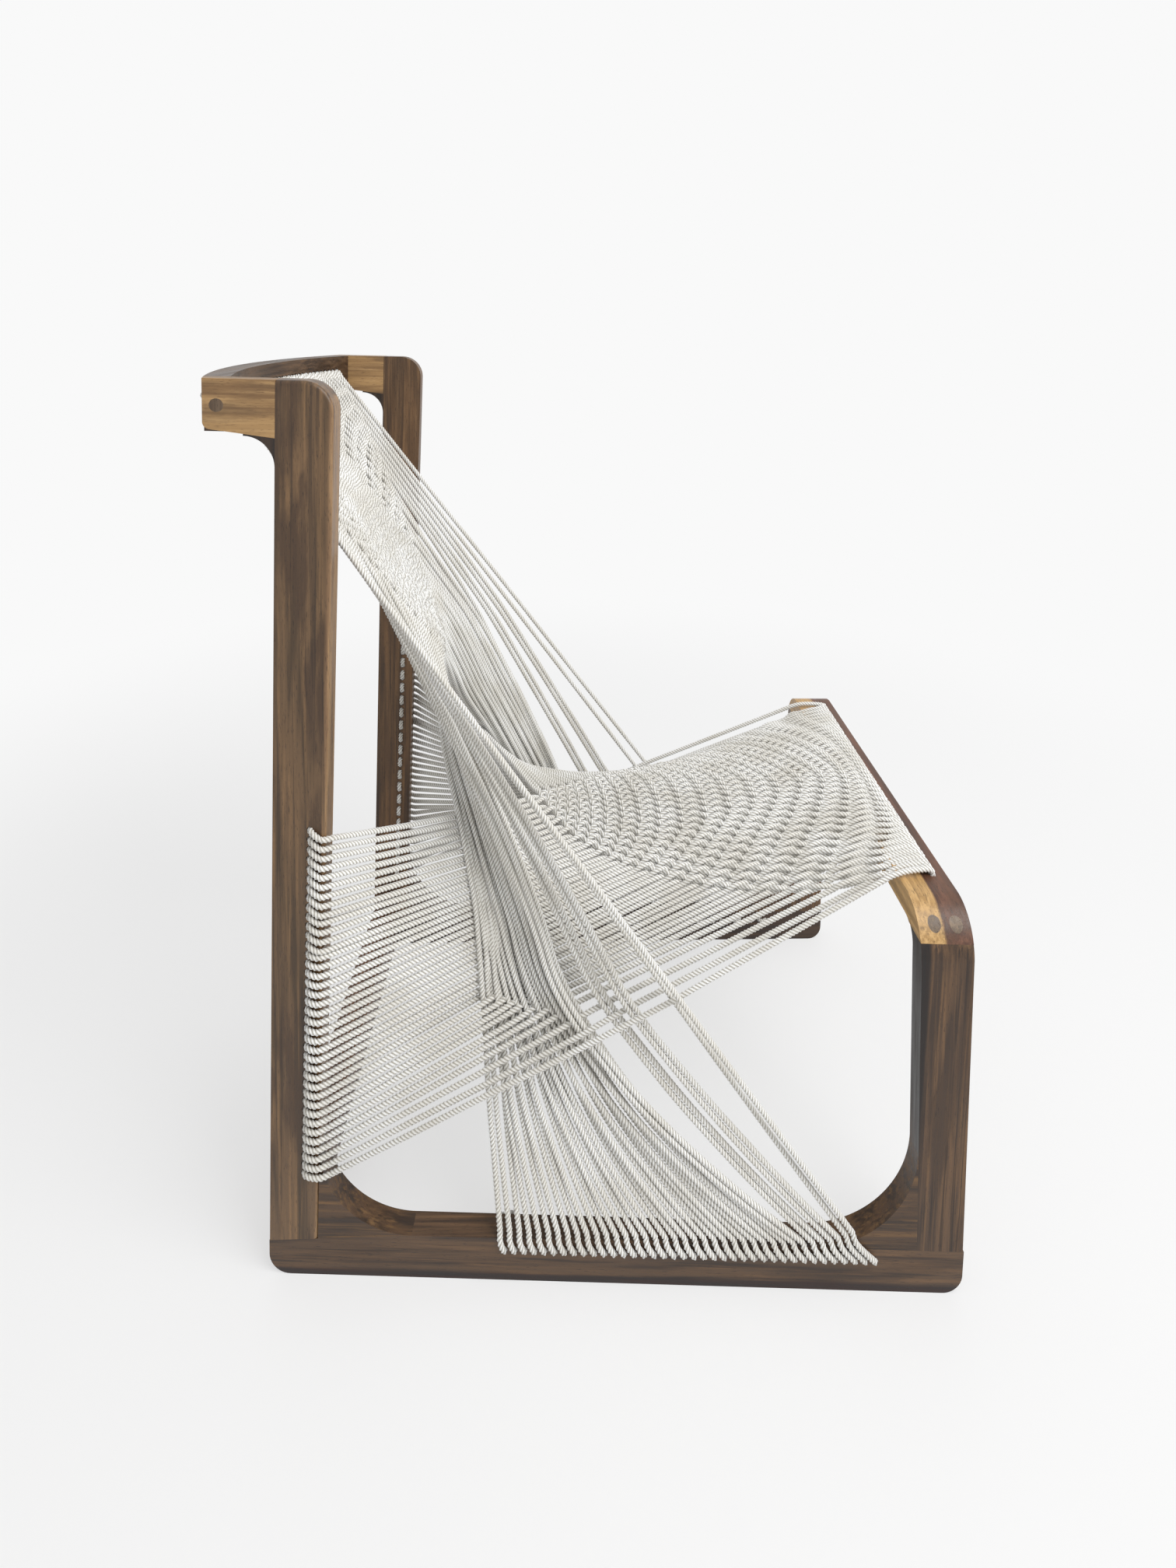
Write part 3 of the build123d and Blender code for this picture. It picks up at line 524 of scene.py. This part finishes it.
def crowd(sheet):
    """Moves the strands of the back within their sheet, and into layers."""
    spots = np.linspace(0.0, 1.0, POINTS)
    low = np.interp(spots, CROWD_SHARES, CROWD_LOW)[None]
    high = np.interp(spots, CROWD_SHARES, CROWD_HIGH)[None]
    even = np.arange(STRANDS)[:, None] / (STRANDS - 1)
    place = even * (1 - low - high) + LOW_PLACES[:, None] * low + HIGH_PLACES[:, None] * high
    moved = np.empty_like(sheet)
    for point in range(POINTS):
        wanted = place[:, point] * (STRANDS - 1)
        for k in range(3):
            moved[:, point, k] = np.interp(wanted, range(STRANDS), sheet[:, point, k])
    square = np.cross(np.gradient(sheet, axis=1), np.gradient(sheet, axis=0))
    square /= np.linalg.norm(square, axis=2)[..., None]
    layer = (np.arange(STRANDS) % 3 - 1) * (np.arange(STRANDS) < LAYERED) * ROOM
    rise = np.interp(spots, LAYER_SHARES, LAYER_RISE)
    return moved + square * layer[:, None, None] * rise[None, :, None]


rest[BACK] = crowd(rest[BACK])
fans = rest.copy()
print("strand 31 moved", round(float(np.linalg.norm(rest - straight, axis=3)[BACK, 31].max())), "mm")

# %% Find where the strands cross
one_of, other_of = [grid.ravel() for grid in np.meshgrid(range(STRANDS), range(STRANDS), indexing="ij")]


def crossing_set(first, second, mirrored):
    """Every pair of strands from two fans, and the direction in which each pair is stacked."""
    a = straight[first][one_of]
    b = straight[second][other_of] * (MIRROR if mirrored else 1)
    along_a, along_b = a[:, -1] - a[:, 0], b[:, -1] - b[:, 0]
    normal = np.cross(along_a, along_b)
    normal /= np.linalg.norm(normal, axis=1)[:, None]
    if not mirrored:
        normal *= np.where(normal[:, :1] > 0, -1, 1)
    return {"first": first, "second": second, "flip": MIRROR if mirrored else np.ones(3),
            "normal": normal, "along": along_a / np.linalg.norm(along_a, axis=1)[:, None]}


def find_crossings(pairs):
    """Where each pair crosses when it is looked at along its normal."""
    a = fans[pairs["first"]][one_of]
    b = fans[pairs["second"]][other_of] * pairs["flip"]
    u, v = pairs["along"][:, None], np.cross(pairs["normal"], pairs["along"])[:, None]
    flat_a = np.stack([(a * u).sum(2), (a * v).sum(2)], 2)
    flat_b = np.stack([(b * u).sum(2), (b * v).sum(2)], 2)
    p, r = flat_a[:, :-1, None], (flat_a[:, 1:] - flat_a[:, :-1])[:, :, None]
    q, s = flat_b[:, None, :-1], (flat_b[:, 1:] - flat_b[:, :-1])[:, None]
    cross = r[..., 0] * s[..., 1] - r[..., 1] * s[..., 0]
    gap = q - p
    with np.errstate(all="ignore"):
        t = (gap[..., 0] * s[..., 1] - gap[..., 1] * s[..., 0]) / cross
        w = (gap[..., 0] * r[..., 1] - gap[..., 1] * r[..., 0]) / cross
    inside = ((t >= 0) & (t <= 1) & (w >= 0) & (w <= 1)).reshape(len(one_of), -1)
    index = inside.argmax(1)
    rows = np.arange(len(one_of))
    i, j = index // (POINTS - 1), index % (POINTS - 1)
    found = inside.any(1)
    t, w = np.where(found, t[rows, i, j], 0.5), np.where(found, w[rows, i, j], 0.5)
    pairs["at"] = (found, i, j, t, w)


side_pairs = crossing_set(SEAT, BACK, False)
last_outside = OUTSIDE_FIRST + (STRANDS - OUTSIDE_FIRST) * other_of / (STRANDS - 1)
side_pairs["order"] = np.where(one_of + 1 <= last_outside, 1.0, -1.0)
seat_pairs = crossing_set(SEAT, SEAT, True)
back_pairs = crossing_set(BACK, BACK, True)
print("strand pairs in each set:", len(one_of))

# %% Let the strands settle
ROUNDS = 800
LOOK_AGAIN = 60                # rounds between two searches for the crossings
STEP = 0.9


def push_apart(pairs, force, weight):
    """Adds one set's pushes. Strands of the two sides are drawn into one woven sheet instead."""
    found, i, j, t, w = pairs["at"]
    first, second, flip = pairs["first"], pairs["second"], pairs["flip"]
    a = fans[first][one_of, i] * (1 - t)[:, None] + fans[first][one_of, i + 1] * t[:, None]
    b = fans[second][other_of, j] * (1 - w)[:, None] + fans[second][other_of, j + 1] * w[:, None]
    b = b * flip
    height = ((b - a) * pairs["normal"]).sum(1)
    if "order" in pairs:
        lack = ROOM - height * pairs["order"]
        amount = np.where(found & (lack > 0), lack * pairs["order"], 0)
        active = amount != 0
    else:
        amount, active = np.where(found, -height, 0), found
    pushed = pairs["normal"] * (amount * PUSH)[:, None]
    ends_of_parts = ((first, one_of, i, 1 - t, -1), (first, one_of, i + 1, t, -1),
                     (second, other_of, j, 1 - w, 1), (second, other_of, j + 1, w, 1))
    for fan, strand, point, part, sign in ends_of_parts:
        turned = pushed * flip if sign == 1 else pushed
        np.add.at(force[fan], (strand, point), sign * turned * part[:, None])
        np.add.at(weight[fan], (strand, point), PUSH * part * active)


def spread_neighbours(force, weight):
    """Pushes near strands of one fan apart, which is not enough where they are most crowded."""
    along = fans[:, :, 2:] - fans[:, :, :-2]
    along /= np.linalg.norm(along, axis=3)[..., None]
    for offset in (1, 2, 3):
        gap = fans[:, offset:, 1:-1] - fans[:, :-offset, 1:-1]
        gap -= (gap * along[:, :-offset]).sum(3)[..., None] * along[:, :-offset]
        distance = np.linalg.norm(gap, axis=3)[..., None] + 1e-6
        amount = np.clip(ROOM - distance, 0, None) * gap / distance
        near = (distance[..., 0] < ROOM) * 0.5
        force[:, offset:, 1:-1] += amount * 0.5
        force[:, :-offset, 1:-1] -= amount * 0.5
        weight[:, offset:, 1:-1] += near
        weight[:, :-offset, 1:-1] += near


def settle():
    """Moves all inner points a step at a time, each drawn to its rest shape's form by two neighbours."""
    for count in range(ROUNDS):
        if count % LOOK_AGAIN == 0:
            for pairs in (side_pairs, seat_pairs, back_pairs):
                find_crossings(pairs)
        force = np.zeros_like(fans)
        weight = np.full(fans.shape[:3], 2.0)
        away = fans - rest
        force[:, :, 1:-1] = away[:, :, :-2] + away[:, :, 2:] - 2 * away[:, :, 1:-1]
        for pairs in (side_pairs, seat_pairs, back_pairs):
            push_apart(pairs, force, weight)
        spread_neighbours(force, weight)
        fans[:, :, 1:-1] += (STEP * force / weight[..., None])[:, :, 1:-1]


settle()
moved = np.linalg.norm(fans - straight, axis=3).max(axis=2)
print("top seat strand moved", round(moved[SEAT][0], 1), "mm in all,",
      "rear back strand", round(moved[BACK][0], 1), "mm")
by_tables, by_pushes = np.linalg.norm(rest - straight, axis=3), np.linalg.norm(fans - rest, axis=3)
print("mean move by the tables and by the pushes:", round(by_tables.mean(), 1), "and",
      round(by_pushes.mean(), 1), "mm")

# %% [markdown]
# ## Weaving over and under
# In the middle of the seat and of the back, the right and the left fan are plain woven: each strand
# goes over one strand of the other side and under the next. The settled strands lie near one
# sheet there, so the weave is added to them: at each crossing one strand is lifted by almost half a
# rope and the other is lowered by as much, and between two crossings the height changes smoothly.
# Where crossings crowd, and where the back's layers meet, that isn't enough and ropes overlap.

# %% Fine points along each strand
FINE = 1.5                     # mm between two rings of a rope
LIFT = 3.0                     # half the distance between two woven ropes
FADE = 14.0                    # the weave fades in and out over this much rope
DRIFT, DRIFT_SPOTS = 0.35, 9   # mm that a strand strays at random, and at how many spots
ROUNDINGS = 3                  # rounds of corner cutting
random = np.random.default_rng(7)


def smooth(points, rounds):
    """Rounds a row of points off by cutting its corners, and keeps its two ends."""
    for _ in range(rounds):
        near = points[:-1] * 0.75 + points[1:] * 0.25
        far = points[:-1] * 0.25 + points[1:] * 0.75
        middle = np.stack([near, far], 1).reshape(-1, 3)
        points = np.vstack([points[:1], middle, points[-1:]])
    return points


def lengths_along(points):
    return np.concatenate([[0.0], np.cumsum(np.linalg.norm(np.diff(points, axis=0), axis=1))])


def at_lengths(points, wanted):
    """The points of a row at these lengths along it."""
    lengths = lengths_along(points)
    return np.stack([np.interp(wanted, lengths, points[:, k]) for k in range(3)], 1)


def even_lengths(points):
    """Lengths along a row that are one ring apart."""
    total = lengths_along(points)[-1]
    return np.linspace(0, total, int(total / FINE) + 1)


def weave_heights(pairs, side):
    """For each strand of one side, its crossings: length along it, and how it is lifted."""
    found, i, j, t, w = pairs["at"]
    marks = [[] for _ in range(STRANDS)]
    lengths = [lengths_along(strand) for strand in fans[pairs["first"]]]
    for pair in np.nonzero(found)[0]:
        k, l = one_of[pair], other_of[pair]
        upward = pairs["normal"][pair] * (1 if pairs["normal"][pair][2] > 0 else -1)
        lift = upward * LIFT * (1 if (k + l) % 2 else -1)
        if side == "right":
            at = np.interp(i[pair] + t[pair], range(POINTS), lengths[k])
            marks[k].append((at, lift))
        else:
            at = np.interp(j[pair] + w[pair], range(POINTS), lengths[l])
            marks[l].append((at, -lift * MIRROR))
    return [sorted(row, key=lambda mark: mark[0]) for row in marks]


def woven(strand, marks):
    """A settled strand at fine points, lifted and lowered at its crossings."""
    wanted = even_lengths(strand)
    total = wanted[-1]
    rounded = smooth(strand, ROUNDINGS)
    line = at_lengths(rounded, wanted * lengths_along(rounded)[-1] / total)
    if not marks:
        return line
    places = np.array([at for at, lift in marks])
    lifts = np.array([lift for at, lift in marks])
    places = np.concatenate([[places[0] - FADE], places, [places[-1] + FADE]])
    lifts = np.vstack([np.zeros(3), lifts, np.zeros(3)])
    index = np.clip(np.searchsorted(places, wanted) - 1, 0, len(places) - 2)
    part = np.clip((wanted - places[index]) / np.maximum(places[index + 1] - places[index], 1.0), 0, 1)
    part = (part * part * (3 - 2 * part))[:, None]
    height = lifts[index] * (1 - part) + lifts[index + 1] * part
    ease = np.clip(np.minimum(wanted, total - wanted) / FADE, 0, 1)[:, None]
    return line + height * ease


def whole_strand(kind, i, side, marks):
    """One strand from inside its first board to inside its last, in millimetres."""
    first, last = lacings[kind]
    middle = woven(fans[("seat", "back").index(kind)][i], marks[i])
    drift = random.normal(0, DRIFT, (DRIFT_SPOTS, 3))
    spots, drift_spots = np.linspace(0, 1, len(middle)), np.linspace(0, 1, DRIFT_SPOTS)
    sway = np.stack([np.interp(spots, drift_spots, drift[:, k]) for k in range(3)], 1)
    middle = middle + sway * (np.sin(spots * math.pi) ** 0.5)[:, None]
    start = smooth(np.array(first(i)[:-1] + [middle[2]]), ROUNDINGS)
    end = smooth(np.array([middle[-3]] + last(i)[1:]), ROUNDINGS)
    points = np.vstack([start[:-1], middle[2:-2], end[1:]])
    points = at_lengths(points, even_lengths(points))
    return points if side == "right" else points * MIRROR


# %% [markdown]
# ## The rope itself
# A three-strand rope looks like a tube with three rounded lobes that turn round its middle once in
# every lay, here 12 mm. A smooth tube with a bump would look flat at its outline, so the lobes are
# real: six points round the rope, alternately on a lobe and in a groove, turned a little further at
# each ring. The ring's own direction is carried along the strand, so the rope doesn't flip in bends.

# %% A mesh of several ropes
LAY = 12.0
LOBE_RADIUS, GROOVE_RADIUS = 3.3, 2.35
AROUND = 6


def carried_frames(points):
    """Two directions square to the rope at each point, carried along it without a twist."""
    along = np.gradient(points, axis=0)
    along /= np.linalg.norm(along, axis=1)[:, None]
    side = np.cross(along[0], [0.31, 0.55, 0.77])
    sides = np.empty_like(points)
    for i, direction in enumerate(along):
        side = side - direction * side.dot(direction)
        side = side / math.sqrt(side.dot(side))
        sides[i] = side
    return sides, np.cross(along, sides)


def rope_rings(points, phase):
    """The points round a rope, ring by ring."""
    one, other = carried_frames(points)
    ring = np.arange(AROUND) * 2 * math.pi / AROUND
    turn = phase + lengths_along(points)[:, None] * 2 * math.pi / LAY + ring[None]
    radius = np.where(np.arange(AROUND) % 2 == 0, LOBE_RADIUS, GROOVE_RADIUS)[None]
    return points[:, None] + (one[:, None] * (np.cos(turn) * radius)[..., None]
                              + other[:, None] * (np.sin(turn) * radius)[..., None])


def rope_piece(name, lines):
    """One Blender object of many ropes, each closed at both ends."""
    vertices, quads, caps, lobes, count = [], [], [], [], 0
    for points in lines:
        rings = rope_rings(points, random.uniform(0, 2 * math.pi))
        n = len(rings)
        vertices.append(rings.reshape(-1, 3) * MM)
        grid = count + np.arange(n * AROUND).reshape(n, AROUND)
        after = np.roll(grid, -1, axis=1)
        quads.append(np.stack([grid[:-1], after[:-1], after[1:], grid[1:]], 2).reshape(-1, 4))
        caps += [grid[0][::-1], grid[-1]]
        lobes.append(np.tile(np.arange(AROUND) % 2 == 0, n))
        count += n * AROUND
    quads, caps = np.vstack(quads), np.array(caps)
    mesh = bpy.data.meshes.new(name)
    mesh.vertices.add(count)
    mesh.vertices.foreach_set("co", np.vstack(vertices).ravel())
    corners = np.concatenate([quads.ravel(), caps.ravel()])
    mesh.loops.add(len(corners))
    mesh.loops.foreach_set("vertex_index", corners)
    begins = np.concatenate([np.arange(len(quads)) * 4, len(quads) * 4 + np.arange(len(caps)) * AROUND])
    mesh.polygons.add(len(begins))
    mesh.polygons.foreach_set("loop_start", begins)
    mesh.polygons.foreach_set("use_smooth", np.ones(len(begins), bool))
    mesh.update(calc_edges=True)
    mesh.validate()
    # The lobe attribute is 1 on a lobe and 0 in a groove, where the material paints shade.
    height = mesh.attributes.new("lobe", "FLOAT", "POINT")
    height.data.foreach_set("value", np.concatenate(lobes).astype(np.float32))
    mesh.materials.append(cotton)
    piece = bpy.data.objects.new(name, mesh)
    bpy.context.scene.collection.objects.link(piece)
    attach(piece, "chair")
    print(name, "has", len(quads) * 2, "triangles")
    return piece


# %% [markdown]
# ## Cotton
# Undyed cotton is a pale off-white with no gloss of its own, only the faint sheen of its loose
# fibres. The grooves between the yarns are drawn darker as painted shade, and slow changes of
# tone along the rope stand for handling and age.

# %% Cotton rope
def cotton_rope():
    material, tree, output = new_material("undyed_cotton_rope")
    place = add(tree, "TexCoord").outputs["Object"]
    lobe = add(tree, "Attribute", attribute_name="lobe").outputs["Fac"]
    slow = add(tree, "TexNoise", {"Vector": place, "Scale": 1 / (60 * MM), "Detail": 2.0})
    fibres = add(tree, "TexNoise", {"Vector": place, "Scale": 1 / (0.9 * MM), "Detail": 3.0})
    unshaded_yarn = blend_colours(tree, ramp(tree, slow.outputs["Fac"], 0.35, 0.65),
                          colour("#E6E4DE"), colour("#F5F5F3"))
    # Painted shade: the grooves between the yarns, where lobe is 0, are drawn darker.
    tone = blend_colours(tree, ramp(tree, lobe, 0.0, 0.75), colour("#A6A196"), unshaded_yarn)
    bump = add(tree, "Bump", {"Strength": 0.4, "Distance": 0.3 * MM,
                              "Height": fibres.outputs["Fac"]})
    surface = add(tree, "BsdfPrincipled", {"Base Color": tone, "Roughness": 0.88, "IOR": 1.47,
                                           "Sheen Weight": 0.15, "Sheen Roughness": 0.5,
                                           "Normal": bump.outputs[0]})
    tree.links.new(surface.outputs[0], output.inputs[0])
    return material


cotton = cotton_rope()

# %% Lay the four fans
HALF = STRANDS // 2
for kind, pairs in (("seat", seat_pairs), ("back", back_pairs)):
    for side in ("right", "left"):
        marks = weave_heights(pairs, side)
        for part, chosen in (("first", range(HALF)), ("second", range(HALF, STRANDS))):
            piece = rope_piece(f"{kind}_lacing_{side}_{part}_half",
                               [whole_strand(kind, i, side, marks) for i in chosen])
            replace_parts(piece, f"{kind}_rope_{side}")

# %% [markdown]
# ## Loops and knots
# Between two strands the rope comes back through the next hole, so each board shows a row of short
# loops on its hidden face. A cord ends in a stopper knot, which is drawn as the rope's own
# overhand knot: a curve that goes twice round and once through.

# %% Loops on the hidden faces
def loop(start, out_start, out_end, end):
    """A short loop from the middle of a board, out of one hole and into the next."""
    corners = smooth(np.array([start, out_start, out_end, end]), ROUNDINGS)
    return at_lengths(corners, even_lengths(corners))


def loops(inner, outer, first, step):
    """Loops between the holes of a row, given the points in the board and outside it."""
    return [loop(inner[i], outer[i], outer[i + 1], inner[i + 1])
            for i in range(first, STRANDS - 1, step)]


def side_rows(holes):
    return ([side_point(MID_BOARD, y, z) for y, z in holes],
            [side_point(BOARD + LIE, y, z) for y, z in holes])


seat_rail_rows = ([np.array([x, SEAT_HOLE_Y, SEAT_HEIGHT - MID_BOARD]) for x in shared_x],
                  [np.array([x, SEAT_HOLE_Y, SEAT_HEIGHT - BOARD - LIE]) for x in shared_x])
crossrail_rows = ([crossrail_point(x, MID_BOARD) for x in shared_x],
                  [crossrail_point(x, BOARD + LIE) for x in shared_x])
for kind, low, high in (("seat", upright_holes, seat_rail_rows), ("back", rail_holes, crossrail_rows)):
    rows = side_rows(low)
    lines = loops(*rows, 1, 2) + [line * MIRROR for line in loops(*rows, 0, 2)] + loops(*high, 0, 1)
    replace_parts(rope_piece(kind + "_rope_turns", lines), kind + "_rope_loops")

# %% Stopper knots
KNOT_SIZE, KNOT_SQUEEZE = 3.6, 0.62    # mm from which the knot's curve is scaled, and how tight it is
KNOT_REACH = 6.0               # mm from the board to the knot's middle, and of the loose end below it


def knot_line(hole):
    """The rope's end out of the board and through its own overhand knot."""
    inside, outside = side_point(MID_BOARD, *hole), side_point(BOARD + 1.0, *hole)
    out = (outside - inside) / np.linalg.norm(outside - inside)
    up = np.array([0.0, 0.0, 1.0])
    beside = np.cross(out, up)
    turns = np.linspace(0.15, 2 * math.pi - 0.35, 40)
    ring = np.stack([np.sin(turns) + 2 * np.sin(2 * turns), np.cos(turns) - 2 * np.cos(2 * turns),
                     -np.sin(3 * turns)], 1) * KNOT_SIZE * KNOT_SQUEEZE
    centre = outside + out * KNOT_REACH
    curl = centre + ring[:, :1] * beside + ring[:, 1:2] * up + ring[:, 2:] * out
    line = smooth(np.vstack([inside, outside, curl, curl[-1] + up * -KNOT_REACH + out * 2.0]), 2)
    return at_lengths(line, even_lengths(line))


knot_holes = [upright_holes[0], upright_holes[-1], rail_holes[0], rail_holes[-1]]
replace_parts(rope_piece("stopper_knots", [knot_line(hole) for hole in knot_holes]), "rope_knots")

# %% [markdown]
# ## Floor and light
# The chair stands on a plain pale floor in soft daylight from large windows. One big soft lamp over
# and in front of the chair makes the shading, and an even pale sky fills the shadows. The camera and
# clear reflections see the sky as white, and the floor turns white away from the chair, so that no
# horizon shows. Near the chair the floor keeps its soft shadow.

# %% Floor
FLOOR_HALF = 6.0               # m
CAMERA_WHITE = 0.60            # share of the floor near the chair that the camera sees as white
FADE_FROM, FADE_TO = 0.7, 2.0  # m from the chair over which the floor turns all white
WHITE = "#F9F9F9"              # of the sky and the far floor


def seen_directly(tree):
    """1 for what the camera, a reflection or a see-through surface looks at, 0 for light on surfaces."""
    path = add(tree, "LightPath").outputs
    seen = add(tree, "Math", {0: path["Is Camera Ray"], 1: path["Is Glossy Ray"]}, operation="MAXIMUM")
    return add(tree, "Math", {0: seen.outputs[0], 1: path["Is Transmission Ray"]},
               operation="MAXIMUM").outputs[0]


def add_floor():
    material, tree, output = new_material("pale_matt_floor")
    seen = seen_directly(tree)
    place = add(tree, "TexCoord").outputs["Object"]
    away = add(tree, "VectorMath", {0: place}, operation="LENGTH").outputs["Value"]
    whiteness = ramp(tree, away, FADE_FROM, FADE_TO, CAMERA_WHITE, 1.0)
    share_white = add(tree, "Math", {0: seen, 1: whiteness}, operation="MULTIPLY")
    matt = add(tree, "BsdfDiffuse", {"Color": colour("#E9E9E9")})
    white = add(tree, "Emission", {"Color": colour(WHITE), "Strength": 1.0})
    both = add(tree, "MixShader", {0: share_white.outputs[0], 1: matt.outputs[0], 2: white.outputs[0]})
    tree.links.new(both.outputs[0], output.inputs[0])
    mesh = bpy.data.meshes.new("floor")
    corners = [(-FLOOR_HALF, -FLOOR_HALF, 0), (FLOOR_HALF, -FLOOR_HALF, 0),
               (FLOOR_HALF, FLOOR_HALF, 0), (-FLOOR_HALF, FLOOR_HALF, 0)]
    mesh.from_pydata(corners, [], [(0, 1, 2, 3)])
    mesh.materials.append(material)
    floor = bpy.data.objects.new("floor", mesh)
    bpy.context.scene.collection.objects.link(floor)


add_floor()

# %% Sky and lamp
SKY_STRENGTH = 0.72            # of the sky's light on surfaces
LAMP_POWER = 62.0              # W
LAMP_SIZE = 2.0                # m
LAMP_PLACE = Vector((-1.3, -1.5, 2.6))
LAMP_AIM = Vector((0.0, 0.0, 0.45))


def add_light():
    world = bpy.data.worlds.new("pale_sky")
    bpy.context.scene.world = world
    world.use_nodes = True
    tree = world.node_tree
    tree.nodes.clear()
    seen = seen_directly(tree)
    strength = add(tree, "MapRange", {"Value": seen, "To Min": SKY_STRENGTH, "To Max": 1.0})
    sky = add(tree, "Background", {"Color": colour(WHITE), "Strength": strength.outputs[0]})
    output = add(tree, "OutputWorld")
    tree.links.new(sky.outputs[0], output.inputs[0])
    data = bpy.data.lights.new("window_light", "AREA")
    data.energy = LAMP_POWER
    data.size = LAMP_SIZE
    lamp = bpy.data.objects.new("window_light", data)
    lamp.location = LAMP_PLACE
    lamp.rotation_euler = (LAMP_AIM - LAMP_PLACE).to_track_quat("-Z", "Y").to_euler()
    bpy.context.scene.collection.objects.link(lamp)


add_light()
bpy.context.scene.view_settings.view_transform = "Standard"
